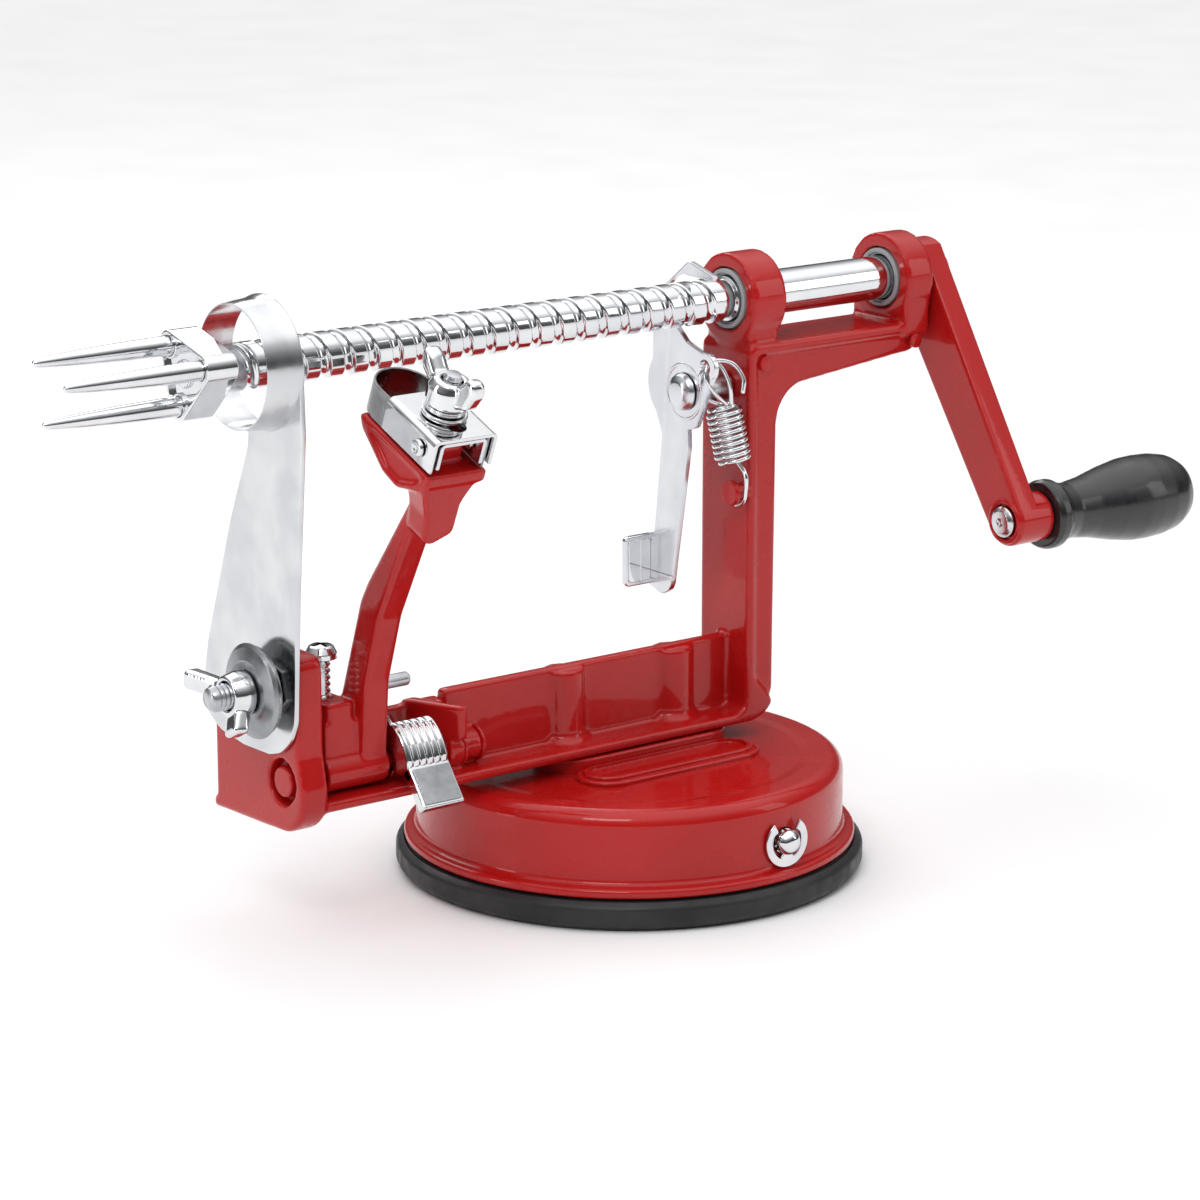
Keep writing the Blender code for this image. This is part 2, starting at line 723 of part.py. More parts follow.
def add_hinge_lug(frame):
    """The rear lug of the arm's hinge and the slanted gusset that ties it to the web."""
    start = POCKET_END - LUG_THICKNESS
    fuse(frame, rod(LUG_RADIUS, "X", HINGE_AXIS, start, POCKET_END, 24))
    fuse(frame, rod(LUG_COLLAR_RADIUS, "X", HINGE_AXIS, POCKET_END - 1, POCKET_END + LUG_COLLAR_LENGTH, 24))
    seat = rectangle(HINGE_Y - 2.6, POCKET_WALL_FAR - 0.5, FRAME_BOTTOM + 0.7, HINGE_Z)
    fuse(frame, prism(seat, "X", start + 0.3, POCKET_END - 0.3))
    gusset = [(start - 5.0, POCKET_WALL_FAR - 1), (start + 1.0, -BAR_HALF_WIDTH + 0.3)]
    gusset += [(POCKET_END - 0.6, -BAR_HALF_WIDTH + 0.3), (start - 1.5, POCKET_WALL_FAR - 1)]
    fuse(frame, prism(gusset, "Z", HINGE_Z + LUG_RADIUS - 1.6, POCKET_WALL_TOP + 1.2))
    web_end = rectangle(start - 1.5, POCKET_END, -0.9, POCKET_WALL_FAR - 1)
    fuse(frame, prism(web_end, "Z", HINGE_Z, POCKET_WALL_TOP + 0.6))


def cut_frame_bores(frame):
    bush_bore = BUSH_RADIUS + GAP
    cut(frame, rod(bush_bore, "X", SHAFT_AXIS, COLUMN_FRONT - CUT, column_back() + CUT, 32))
    cut(frame, rod(bush_bore, "X", SHAFT_AXIS, rear_boss_front() - CUT, rear_boss_back() + CUT, 32))
    rivet_bore = LEVER_RIVET_RADIUS + GAP
    cut(frame, rod(rivet_bore, "X", LEVER_AXIS, COLUMN_FRONT - CUT, column_back() - 0.5, 16))
    pin_bore = HINGE_PIN_RADIUS + GAP
    recess_end = BLOCK_FRONT + HINGE_HEAD_LENGTH + GAP
    cut(frame, rod(HINGE_RECESS_RADIUS, "X", HINGE_AXIS, BLOCK_FRONT - CUT, recess_end, 24))
    cut(frame, rod(pin_bore, "X", HINGE_AXIS, recess_end - CUT, block_back() + CUT, 16))
    lug_start = POCKET_END - LUG_THICKNESS - 6 * CUT
    cut(frame, rod(pin_bore, "X", HINGE_AXIS, lug_start, POCKET_END + LUG_COLLAR_LENGTH + CUT, 16))
    cut(frame, rod(BOLT_RADIUS + GAP, "X", BOLT_AXIS, BLOCK_FRONT - CUT, block_back() + CUT, 20))
    for x in LID_SCREW_POSITIONS:
        top = FRAME_BOTTOM + LID_SCREW_DEPTH
        cut(frame, rod(LID_SCREW_RADIUS + GAP, "Z", (x, 0), FRAME_BOTTOM - CUT, top, 16))


# ---------------------------------------------------------------- shaft, fork and crank


def bushes():
    bore = SHAFT_RADIUS + RUNNING
    pivot = (COLUMN_FRONT, 0, SHAFT_HEIGHT)
    front_low = COLUMN_FRONT - BUSH_PROUD
    front_high = column_back() + 0.8
    piece("front_bush", tube(BUSH_RADIUS, bore, "X", SHAFT_AXIS, front_low, front_high, 28), grey_nylon(), pivot)
    rear_low = rear_boss_front() - BUSH_PROUD
    rear_high = rear_boss_back() + 0.4
    piece("rear_bush", tube(BUSH_RADIUS, bore, "X", SHAFT_AXIS, rear_low, rear_high, 28), grey_nylon(), pivot)


def hub_back():
    return HUB_FRONT + HUB_LENGTH


def thread_start():
    """The groove's middle passes the release lever's tooth after a whole number of turns."""
    return LEVER_FRONT + LEVER_THICKNESS / 2 - TOOTH_TURN * THREAD_PITCH


def shaft_ring(mesh, x, radius):
    ring = []
    for index in range(THREAD_STEPS):
        angle = 2 * math.pi * index / THREAD_STEPS
        place = (x, radius * math.cos(angle), SHAFT_HEIGHT + radius * math.sin(angle))
        ring.append(mesh.verts.new(place))
    return ring


def groove_row(mesh, step):
    """The four points across the right-handed groove at one step of its helix."""
    angle = 2 * math.pi * step / THREAD_STEPS
    middle = thread_start() + THREAD_PITCH * step / THREAD_STEPS
    floor = SHAFT_RADIUS - THREAD_DEPTH
    row = []
    for offset, radius in (
        (-GROOVE_TOP / 2, SHAFT_RADIUS),
        (-GROOVE_FLOOR / 2, floor),
        (GROOVE_FLOOR / 2, floor),
        (GROOVE_TOP / 2, SHAFT_RADIUS),
    ):
        place = (middle + offset, radius * math.cos(angle), SHAFT_HEIGHT + radius * math.sin(angle))
        row.append(mesh.verts.new(place))
    return row


def thread_faces(mesh, start_ring, end_ring):
    turn = THREAD_STEPS
    last = THREAD_TURNS * turn
    rows = [groove_row(mesh, step) for step in range(last + 1)]
    mesh.faces.new(rows[0])
    mesh.faces.new(list(reversed(rows[last])))
    for step in range(last):
        here = rows[step]
        after = rows[step + 1]
        for index in range(3):
            mesh.faces.new((here[index], here[index + 1], after[index + 1], after[index]))
        ring_here = step % turn
        ring_after = (step + 1) % turn
        if step < turn - 1:
            mesh.faces.new((start_ring[ring_here], start_ring[ring_after], after[0], here[0]))
        elif step == turn - 1:
            first = rows[0]
            mesh.faces.new((start_ring[ring_here], start_ring[ring_after], first[0], first[3], after[0], here[0]))
        else:
            left = rows[step - turn]
            left_after = rows[step + 1 - turn]
            mesh.faces.new((left[3], left_after[3], after[0], here[0]))
        if step > last - turn:
            mesh.faces.new((here[3], after[3], end_ring[ring_after], end_ring[ring_here]))
        elif step == last - turn:
            final = rows[last]
            mesh.faces.new((here[3], after[3], end_ring[ring_after], end_ring[ring_here], final[3], final[0]))


def crank_front():
    return rear_boss_back() + CRANK_CLEARANCE


def crank_back():
    return crank_front() + CRANK_THICKNESS


def threaded_shaft():
    mesh = bmesh.new()
    thread_low = thread_start() - GROOVE_TOP / 2 - 0.6
    thread_high = thread_start() + THREAD_TURNS * THREAD_PITCH + GROOVE_TOP / 2 + 0.2
    shoulder = crank_front() - GAP
    stations = [(HUB_FRONT, FORK_SPIGOT_RADIUS), (hub_back() + GAP, FORK_SPIGOT_RADIUS)]
    stations += [(hub_back() + GAP, SHAFT_RADIUS), (thread_low, SHAFT_RADIUS)]
    front = [shaft_ring(mesh, x, radius) for x, radius in stations]
    stations = [(thread_high, SHAFT_RADIUS), (thread_high + 0.4, NECK_RADIUS)]
    stations += [(thread_high + 0.4 + NECK_LENGTH, NECK_RADIUS), (thread_high + 0.8 + NECK_LENGTH, SHAFT_RADIUS)]
    stations += [(shoulder, SHAFT_RADIUS), (shoulder, SPIGOT_RADIUS), (crank_back(), SPIGOT_RADIUS)]
    rear = [shaft_ring(mesh, x, radius) for x, radius in stations]
    mesh.faces.new(front[0])
    mesh.faces.new(list(reversed(rear[-1])))
    for first, second in zip(front, front[1:]):
        bridge(mesh, first, second)
    for first, second in zip(rear, rear[1:]):
        bridge(mesh, first, second)
    thread_faces(mesh, front[-1], rear[0])
    pivot = (COLUMN_FRONT, 0, SHAFT_HEIGHT)
    shaft = piece("threaded_shaft", mesh, chrome(), pivot)
    depth = crank_back() - 9.0
    cut(shaft, rod(CRANK_SCREW_RADIUS + GAP, "X", SHAFT_AXIS, depth, crank_back() + CUT, 14))


def prong_centre(angle):
    turn = math.radians(angle)
    return (PRONG_CIRCLE * math.cos(turn), SHAFT_HEIGHT + PRONG_CIRCLE * math.sin(turn))


def fork_hub():
    """A three-lobed hub: round lobes about the prongs, flat between them."""
    outline = []
    for angle in PRONG_ANGLES:
        centre = prong_centre(angle)
        outline += arc(centre[0], centre[1], HUB_LOBE_RADIUS, angle - 60, angle + 60, 6)
    pivot = (COLUMN_FRONT, 0, SHAFT_HEIGHT)
    hub = piece("fork_hub", prism(outline, "X", HUB_FRONT, hub_back()), chrome(), pivot)
    bore = FORK_SPIGOT_RADIUS + GAP
    cut(hub, rod(bore, "X", SHAFT_AXIS, HUB_FRONT - CUT, hub_back() + CUT, 16))
    for angle in PRONG_ANGLES:
        hole = PRONG_RADIUS + GAP
        cut(hub, rod(hole, "X", prong_centre(angle), HUB_FRONT - CUT, hub_back() + CUT, 16))


def fork_prongs():
    tip = HUB_FRONT - PRONG_REACH
    profile = [(0, tip), (PRONG_TIP_RADIUS - 0.4, tip), (PRONG_TIP_RADIUS, tip + 0.6)]
    profile += [(PRONG_RADIUS - 0.5, tip + PRONG_REACH * 0.45), (PRONG_RADIUS, tip + PRONG_REACH * 0.7)]
    profile += [(PRONG_RADIUS, hub_back()), (0, hub_back())]
    pivot = (COLUMN_FRONT, 0, SHAFT_HEIGHT)
    for index, angle in enumerate(PRONG_ANGLES):
        piece(f"fork_prong_{index + 1}", turned(profile, "X", prong_centre(angle), 14), chrome(), pivot)


def crank_end():
    turn = math.radians(CRANK_ANGLE)
    return (-CRANK_LENGTH * math.sin(turn), SHAFT_HEIGHT - CRANK_LENGTH * math.cos(turn))


def crank_arm():
    """A flat bar from the shaft to the knob, round at both ends."""
    end = crank_end()
    along = 270 - CRANK_ANGLE
    outline = arc(0, SHAFT_HEIGHT, CRANK_HUB_RADIUS, along + 115, along + 245, 12)
    outline += arc(end[0], end[1], CRANK_WIDTH / 2, along - 90, along + 90, 10)
    pivot = (COLUMN_FRONT, 0, SHAFT_HEIGHT)
    arm = piece("crank_arm", prism(outline, "X", crank_front(), crank_back()), red_enamel(), pivot)
    fuse(arm, rod(CRANK_WIDTH / 2, "X", end, crank_back() - 1, crank_back() + CRANK_BOSS_LENGTH, 24))
    cut(arm, rod(SPIGOT_RADIUS + GAP, "X", SHAFT_AXIS, crank_front() - CUT, crank_back() + CUT, 20))
    high = crank_back() + CRANK_BOSS_LENGTH + CUT
    cut(arm, rod(SPINDLE_RADIUS + GAP, "X", end, crank_front() - CUT, high, 16))


def crank_screw():
    low = crank_back() - 8.0
    head = crank_back() + GAP
    profile = [(0, low), (CRANK_SCREW_RADIUS, low), (CRANK_SCREW_RADIUS, head), (CRANK_SCREW_HEAD + 0.4, head)]
    profile += [(CRANK_SCREW_HEAD + 0.4, head + 1.0), (CRANK_SCREW_HEAD - 0.8, head + 2.6), (0, head + 2.6)]
    pivot = (COLUMN_FRONT, 0, SHAFT_HEIGHT)
    piece("crank_screw", turned(profile, "X", SHAFT_AXIS, 18), zinc_steel(), pivot)


def knob_front():
    return crank_back() + CRANK_BOSS_LENGTH + GAP


def knob_spindle():
    low = crank_front() - GAP - 1.3
    high = knob_front() + KNOB_LENGTH - 7
    profile = [(0, low), (SPINDLE_HEAD_RADIUS - 1, low), (SPINDLE_HEAD_RADIUS, low + 0.5)]
    profile += [(SPINDLE_HEAD_RADIUS, crank_front() - GAP), (SPINDLE_RADIUS, crank_front() - GAP)]
    profile += [(SPINDLE_RADIUS, high), (0, high)]
    piece("knob_spindle", turned(profile, "X", crank_end(), 18), zinc_steel(), (crank_front(), *crank_end()))


def crank_knob():
    low = knob_front()
    high = low + KNOB_LENGTH
    bore = SPINDLE_RADIUS + RUNNING
    profile = [(bore, low), (KNOB_COLLAR_RADIUS - 0.8, low), (KNOB_COLLAR_RADIUS, low + 1)]
    profile += [(KNOB_COLLAR_RADIUS, low + 3.4), (KNOB_NECK_RADIUS + 0.4, low + 5), (KNOB_NECK_RADIUS, low + 8)]
    middle = low + KNOB_LENGTH * 0.66
    profile += [(KNOB_RADIUS - 1.2, middle - 8.5), (KNOB_RADIUS - 0.2, middle - 3), (KNOB_RADIUS, middle + 1)]
    tail = high - middle - 1
    for r, x in arc(0, middle + 1, 1.0, 15, 75, 4):
        profile.append((KNOB_RADIUS * r, middle + 1 + tail * (x - middle - 1)))
    profile += [(0, high), (0, high - 6.5), (bore, high - 6.5)]
    piece("crank_knob", turned(profile, "X", crank_end(), 28), black_gloss(), (low, *crank_end()))


# ---------------------------------------------------------------- release lever


def lever_outline():
    """The flat lever: a hook over the far side of the shaft, a round hub and a handle."""
    z = LEVER_PIVOT_Z
    shaft = SHAFT_HEIGHT
    inner = SHAFT_RADIUS + 1.0
    points = [(-10.1, shaft + 7.4), (-9.6, shaft + 6.3)]
    points += arc(0, shaft, inner + 0.6, 95, 30, 5)
    points += arc(0, shaft, inner, 8, -48, 4)
    points += [(-0.6, shaft - 8.3)]
    points += arc(EAR_Y, EAR_Z, EAR_RADIUS, 70, 225, 8)
    points += arc(0, z, 8.6, 240, 262, 2)
    points += [(-1.4, z - 12.5), (3.4, z - 40), (4.0, z - 44)]
    points += arc(8.2, z - 43.5, 4.2, 200, 290, 4)
    points += [(13.6, z - 46.2), (13.2, z - 34.6), (10.6, z - 34.2), (7.9, z - 11)]
    points += arc(4.2, z + 0.6, 8.8, -48, 36, 6)
    points += [(11.2, shaft - 6), (10.0, shaft), (6.6, shaft + 3.8), (-1.3, shaft + 9.8)]
    return points


def lever_tooth():
    """The pointed tooth that rides in the shaft's groove."""
    middle = LEVER_FRONT + LEVER_THICKNESS / 2
    z = SHAFT_HEIGHT
    outline = [(TOOTH_RADIUS, z - TOOTH_HALF_HEIGHT), (SHAFT_RADIUS + 2.5, z - 2.2)]
    outline += [(SHAFT_RADIUS + 2.5, z + 2.2), (TOOTH_RADIUS, z + TOOTH_HALF_HEIGHT)]
    return prism(outline, "X", middle - TOOTH_THICKNESS / 2, middle + TOOTH_THICKNESS / 2)


def release_lever():
    high = LEVER_FRONT + LEVER_THICKNESS
    pivot = (LEVER_FRONT, 0, LEVER_PIVOT_Z)
    lever = piece("release_lever", prism(lever_outline(), "X", LEVER_FRONT, high), chrome(), pivot)
    fuse(lever, lever_tooth())
    z = LEVER_PIVOT_Z
    tab = rounded_rectangle(LEVER_FRONT - TAB_DEPTH, high, z - 46.2, z - 34.6, 1.2, 3)
    fuse(lever, prism(tab, "Y", 12.0, 12.0 + LEVER_THICKNESS))
    cut(lever, rod(LEVER_RIVET_RADIUS + RUNNING, "X", LEVER_AXIS, LEVER_FRONT - CUT, high + CUT, 16))
    cut(lever, rod(EAR_HOLE, "X", (EAR_Y, EAR_Z), LEVER_FRONT - CUT, high + CUT, 14))


def lever_rivet():
    head = LEVER_FRONT - GAP
    back = column_back() - 1.0
    profile = [(0, head - 2.2), (LEVER_RIVET_HEAD * 0.6, head - 1.9), (LEVER_RIVET_HEAD * 0.9, head - 1.1)]
    profile += [(LEVER_RIVET_HEAD, head), (LEVER_RIVET_RADIUS, head), (LEVER_RIVET_RADIUS, back)]
    profile += [(0, back)]
    piece("lever_rivet", turned(profile, "X", LEVER_AXIS, 20), polished_steel())


def lever_spacer():
    low = LEVER_FRONT + LEVER_THICKNESS + GAP
    spacer = tube(SPACER_RADIUS, LEVER_RIVET_RADIUS + GAP, "X", LEVER_AXIS, low, COLUMN_FRONT - GAP, 20)
    piece("lever_spacer", spacer, zinc_steel())


def spring_path():
    """The spring's upper hook, its coil and its lower hook, as one line of points."""
    top = Vector((21.3, EAR_Y + 1.2, 101.0))
    bottom = Vector((22.7, STUB_Y - 1.6, 89.6))
    along = (bottom - top).normalized()
    side = Vector((1, 0, 0)) - along * along.x
    side.normalize()
    other = along.cross(side)
    steps = 8
    coil = []
    for index in range(SPRING_TURNS * steps + 1):
        angle = 2 * math.pi * index / steps
        centre = top.lerp(bottom, index / (SPRING_TURNS * steps))
        coil.append(centre + (side * math.cos(angle) + other * math.sin(angle)) * SPRING_RADIUS)
    ear = Vector((LEVER_FRONT + LEVER_THICKNESS / 2, EAR_Y, EAR_Z))
    hook = [ear + Vector((-1.6, 0.3, -2.2)), ear + Vector((-1.9, 0.2, -0.6)), ear + Vector((0, 0, 0.2))]
    hook += [ear + Vector((2.6, -0.2, -0.6)), ear + Vector((4.4, -0.4, -3.6)), ear + Vector((5.6, -0.7, -6.4))]
    stub = Vector((COLUMN_FRONT - 2.2, STUB_Y, STUB_Z))
    ring = SPRING_WIRE + 1.9 + 0.5
    lower = [stub + Vector((0.0, -ring - 0.2, 4.6))]
    for angle in (180, 215, 250, 285, 320):
        turn = math.radians(angle)
        lower.append(stub + Vector((0, ring * math.cos(turn), ring * math.sin(turn))))
    return hook, coil, lower


def lever_spring():
    hook, coil, lower = spring_path()
    pivot = (COLUMN_FRONT, STUB_Y, STUB_Z)
    piece("lever_spring", swept_wire(hook + coil + lower, SPRING_WIRE, 4), chrome(), pivot)


# ---------------------------------------------------------------- peeler arm


def arm_outline():
    """The arm from the side: upright at the hinge, then leaning out to carry the head."""
    points = [(HINGE_Y + 3.2, HINGE_Z), (3.1, 49.3), (-5.2, 73.0), (-8.0, 77.5), (-25.3, 99.8)]
    points += [(-27.0, 103.0), (-33.5, 102.0), (-30.3, 97.5), (-25.0, 94.0), (-12.0, 70.0)]
    points += [(-6.9, 54.5), (HINGE_Y - 3.4, HINGE_Z)]
    return points


def arm_pivot():
    return (ARM_FRONT, HINGE_Y, HINGE_Z)


def peeler_arm():
    arm_back = ARM_FRONT + ARM_WIDTH
    boss = rod(ARM_BOSS_RADIUS, "X", HINGE_AXIS, ARM_BOSS_START, ARM_BOSS_END, 24)
    arm = piece("peeler_arm", boss, red_enamel(), arm_pivot())
    fuse(arm, prism(arm_outline(), "X", ARM_FRONT, arm_back))
    head = [(0, -HEAD_TOP), (HEAD_LENGTH, -HEAD_TOP), (HEAD_LENGTH - 2.5, -HEAD_TOP - 3.4)]
    head += [(15.0, -16.5), (9.5, -17.0), (3.0, -13.8), (0, -11.5)]
    half = CHANNEL_HALF_WIDTH - 0.3
    fuse(arm, in_head(prism(head, "X", -half, half)))
    pad = rectangle(CLAMP_AT - 4.5, CLAMP_AT + 4.5, -HEAD_TOP - 1, -2 * CHANNEL_WALL - 2 * GAP - 0.1)
    fuse(arm, in_head(prism(pad, "X", -HEAD_PAD_HALF_WIDTH, HEAD_PAD_HALF_WIDTH)))
    web = rectangle(HINGE_Y - 2.2, HINGE_Y + 0.8, HINGE_Z, STOP_EAR_TOP - 4.0)
    fuse(arm, prism(web, "X", ARM_BOSS_START + 0.2, ARM_FRONT + 1))
    ear = rounded_rectangle(STOP_SCREW_X - 3.6, STOP_SCREW_X + 3.6, HINGE_Y - 2.2, STOP_SCREW_Y + 3.6, 1.5, 3)
    fuse(arm, prism(ear, "Z", STOP_EAR_BOTTOM, STOP_EAR_TOP))
    cut(arm, rod(HINGE_PIN_RADIUS + RUNNING, "X", HINGE_AXIS, ARM_BOSS_START - CUT, ARM_BOSS_END + CUT, 16))
    stop_centre = (STOP_SCREW_X, STOP_SCREW_Y)
    cut(arm, rod(STOP_SCREW_RADIUS + GAP, "Z", stop_centre, STOP_EAR_BOTTOM - CUT, STOP_EAR_TOP + CUT, 14))
    cut(arm, in_head(rod(CLAMP_BOLT_RADIUS + GAP, "Z", (0, CLAMP_AT), -7.5, CUT, 14)))
    pin_low = arm_back - 3.0
    cut(arm, rod(ARM_PIN_RADIUS + GAP, "X", (ARM_PIN_Y, ARM_PIN_Z), pin_low, arm_back + CUT, 14))


def arm_hinge_pin():
    low = BLOCK_FRONT + 0.1
    high = POCKET_END + LUG_COLLAR_LENGTH + 0.6
    neck = low + HINGE_HEAD_LENGTH - 0.2
    profile = [(0, low), (HINGE_HEAD_RADIUS - 0.4, low), (HINGE_HEAD_RADIUS, low + 0.4), (HINGE_HEAD_RADIUS, neck)]
    profile += [(HINGE_PIN_RADIUS, neck), (HINGE_PIN_RADIUS, high), (0, high)]
    piece("arm_hinge_pin", turned(profile, "X", HINGE_AXIS, 18), red_enamel())


def arm_pin():
    low = ARM_FRONT + ARM_WIDTH - 2.7
    high = ARM_FRONT + ARM_WIDTH + ARM_PIN_LENGTH
    profile = [(0, low), (ARM_PIN_RADIUS, low), (ARM_PIN_RADIUS, high - 1.2), (ARM_PIN_RADIUS * 0.7, high - 0.3)]
    profile += [(0, high)]
    piece("latch_pin", turned(profile, "X", (ARM_PIN_Y, ARM_PIN_Z), 14), zinc_steel(), arm_pivot())


def stop_screw():
    centre = (STOP_SCREW_X, STOP_SCREW_Y)
    tip = POCKET_WALL_TOP + GAP
    head = 59.2
    profile = [(0, tip), (STOP_SCREW_RADIUS - 0.5, tip), (STOP_SCREW_RADIUS, tip + 0.6), (STOP_SCREW_RADIUS, head)]
    profile += [(STOP_SCREW_HEAD, head + 0.3), (STOP_SCREW_HEAD, head + 1.4), (STOP_SCREW_HEAD - 1.2, head + 2.9)]
    profile += [(0, head + 3.3)]
    pivot = (STOP_SCREW_X, STOP_SCREW_Y, STOP_EAR_TOP)
    screw = piece("stop_screw", turned(profile, "Z", centre, 16), chrome(), pivot)
    slot = rectangle(STOP_SCREW_X - 5, STOP_SCREW_X + 5, STOP_SCREW_Y - 0.5, STOP_SCREW_Y + 0.5)
    cut(screw, prism(slot, "Z", head + 2.0, head + 5))


def torsion_spring():
    """The spring round the hinge pin that presses the arm in towards the fruit."""
    turns = 1.25
    steps = 14
    count = int(turns * steps)
    low = block_back() + 0.35 + TORSION_WIRE
    high = ARM_BOSS_START - 0.35 - TORSION_WIRE
    path = []
    for index in range(count + 1):
        angle = 2 * math.pi * index / steps
        x = low + (high - low) * index / count
        y = HINGE_Y + TORSION_RADIUS * math.cos(angle)
        z = HINGE_Z + TORSION_RADIUS * math.sin(angle)
        path.append(Vector((x, y, z)))
    pivot = (block_back(), HINGE_Y, HINGE_Z)
    piece("arm_torsion_spring", swept_wire(path, TORSION_WIRE, 6), zinc_steel(), pivot)


def latch():
    """A stamped latch on the hinge pin: two ears, a ribbed back and a thumb plate."""
    outer = LATCH_RADIUS
    inner = LATCH_RADIUS - LATCH_PLATE
    centre = HINGE_AXIS
    plate = arc(*centre, outer, 108, 178, 8) + [(-17.6, 28.6), (-16.7, 28.3)]
    plate += arc(*centre, inner, 180, 108, 8)
    back = prism(plate, "X", LATCH_START, LATCH_END)
    body = piece("arm_latch", back, chrome(), (LATCH_START, HINGE_Y, HINGE_Z))
    foot = arc(*centre, 4.0, 200, 400, 10)
    rim = arc(*centre, inner + 0.4, 108, 178, 8) + [(-13.2, 33.0)]
    hook = [(1.2, 44.2), (-2.6, 46.2)]
    fuse(body, prism(foot + hook + rim, "X", LATCH_START, LATCH_START + LATCH_PLATE))
    fuse(body, prism(foot + rim, "X", LATCH_END - LATCH_PLATE, LATCH_END))
    cut(body, rod(HINGE_PIN_RADIUS + RUNNING, "X", HINGE_AXIS, LATCH_START - CUT, LATCH_END + CUT, 16))


# ---------------------------------------------------------------- peeler head


def channel_slot():
    """The slot along the channel that the clamp bolt passes through."""
    radius = CLAMP_BOLT_RADIUS + GAP
    low = CLAMP_AT - radius
    high = CLAMP_AT + CHANNEL_SLIDE + radius
    points = stadium(low, high, -radius, radius, 6)
    return [(b, a) for a, b in points]


def channel(name, half_width, top, start, end, depth):
    """An inverted channel with a slot for the clamp bolt."""
    outline = [(-half_width, -depth), (-half_width, top), (half_width, top), (half_width, -depth)]
    outline += [(half_width - CHANNEL_WALL, -depth), (half_width - CHANNEL_WALL, top - CHANNEL_WALL)]
    outline += [(-half_width + CHANNEL_WALL, top - CHANNEL_WALL), (-half_width + CHANNEL_WALL, -depth)]
    shape = in_head(prism(outline, "Y", start, end))
    body = piece(name, shape, chrome(), arm_pivot())
    cut(body, in_head(prism(channel_slot(), "Z", top - CHANNEL_WALL - CUT, top + CUT)))
    return body


def blade_half_width():
    return CHANNEL_HALF_WIDTH - CHANNEL_WALL - GAP


def carrier_half_width():
    return blade_half_width() - BLADE_THICKNESS - GAP


def rivet_places():
    middle = -CHANNEL_WALL - CHANNEL_HEIGHT * 0.42
    return ((-1, 4.6, middle), (1, 4.6, middle))


def rivet_hole(side, along, up, radius):
    low = carrier_half_width() - CHANNEL_WALL - CUT
    high = CHANNEL_HALF_WIDTH + CUT
    if side > 0:
        return in_head(rod(radius, "X", (along, up), low, high, 12))
    return in_head(rod(radius, "X", (along, up), -high, -low, 12))


def blade_bracket():
    body = channel("blade_bracket", CHANNEL_HALF_WIDTH, 0.0, 0.0, CHANNEL_LENGTH, CHANNEL_HEIGHT)
    for side, along, up in rivet_places():
        cut(body, rivet_hole(side, along, up, 1.0 + GAP))


def blade_carrier():
    top = -CHANNEL_WALL - GAP
    end = CHANNEL_LENGTH - 1.5
    body = channel("blade_carrier", carrier_half_width(), top, 0.4, end, CHANNEL_HEIGHT - 0.2)
    for side, along, up in rivet_places():
        cut(body, rivet_hole(side, along, up, 1.0 + GAP))


def peeler_blade():
    """A strip bent into a loop, its two ends held between the channels."""
    outer = blade_half_width()
    inner = outer - BLADE_THICKNESS
    bend = BLADE_REACH - outer
    start = 1.0
    outline = [(outer, start)] + arc(0, bend, outer, 0, 180, 16) + [(-outer, start)]
    outline += [(-inner, start)] + arc(0, bend, inner, 180, 0, 16) + [(inner, start)]
    top = -CHANNEL_WALL - GAP
    shape = in_head(prism(outline, "Z", top - BLADE_HEIGHT, top))
    blade = piece("peeler_blade", shape, dark_steel(), arm_pivot())
    for side, along, up in rivet_places():
        cut(blade, rivet_hole(side, along, up, 1.0 + GAP))


def blade_rivets():
    inside = carrier_half_width() - CHANNEL_WALL - GAP
    outside = CHANNEL_HALF_WIDTH + GAP
    for index, (side, along, up) in enumerate(rivet_places()):
        profile = [(0, inside - 0.8), (1.7, inside - 0.8), (1.7, inside), (1.0, inside)]
        profile += [(1.0, outside), (1.9, outside), (1.6, outside + 0.7), (0, outside + 0.7)]
        profile = [(r, side * x) for r, x in profile]
        shape = in_head(turned(profile, "X", (along, up), 14))
        piece(f"blade_rivet_{index + 1}", shape, polished_steel(), arm_pivot())


def clamp_stack():
    """The bolt, the two washers and the wing nut that clamp the channel to the arm."""
    centre = (0, CLAMP_AT)
    bore = CLAMP_BOLT_RADIUS + GAP
    bolt = rod(CLAMP_BOLT_RADIUS, "Z", centre, -7.2, 9.9, 16)
    piece("clamp_bolt", in_head(bolt), zinc_steel(), arm_pivot())
    flat = tube(4.9, bore, "Z", centre, GAP, GAP + 1.0, 24)
    piece("flat_washer", in_head(flat), zinc_steel(), arm_pivot())
    spring = tube(4.3, bore, "Z", centre, 2 * GAP + 1.0, 2 * GAP + 2.1, 24)
    piece("spring_washer", in_head(spring), zinc_steel(), arm_pivot())


def wing(radius_low, length, height_low, height_high, thickness):
    """One wing of a nut, in the plane of its axis and one radius, as (radius, height)."""
    points = [(radius_low, height_low), (radius_low + length * 0.45, height_low + 0.6)]
    points += [(radius_low + length, height_high - 2.4), (radius_low + length, height_high)]
    points += [(radius_low + length * 0.55, height_high), (radius_low, height_low + 3.6)]
    return points, thickness


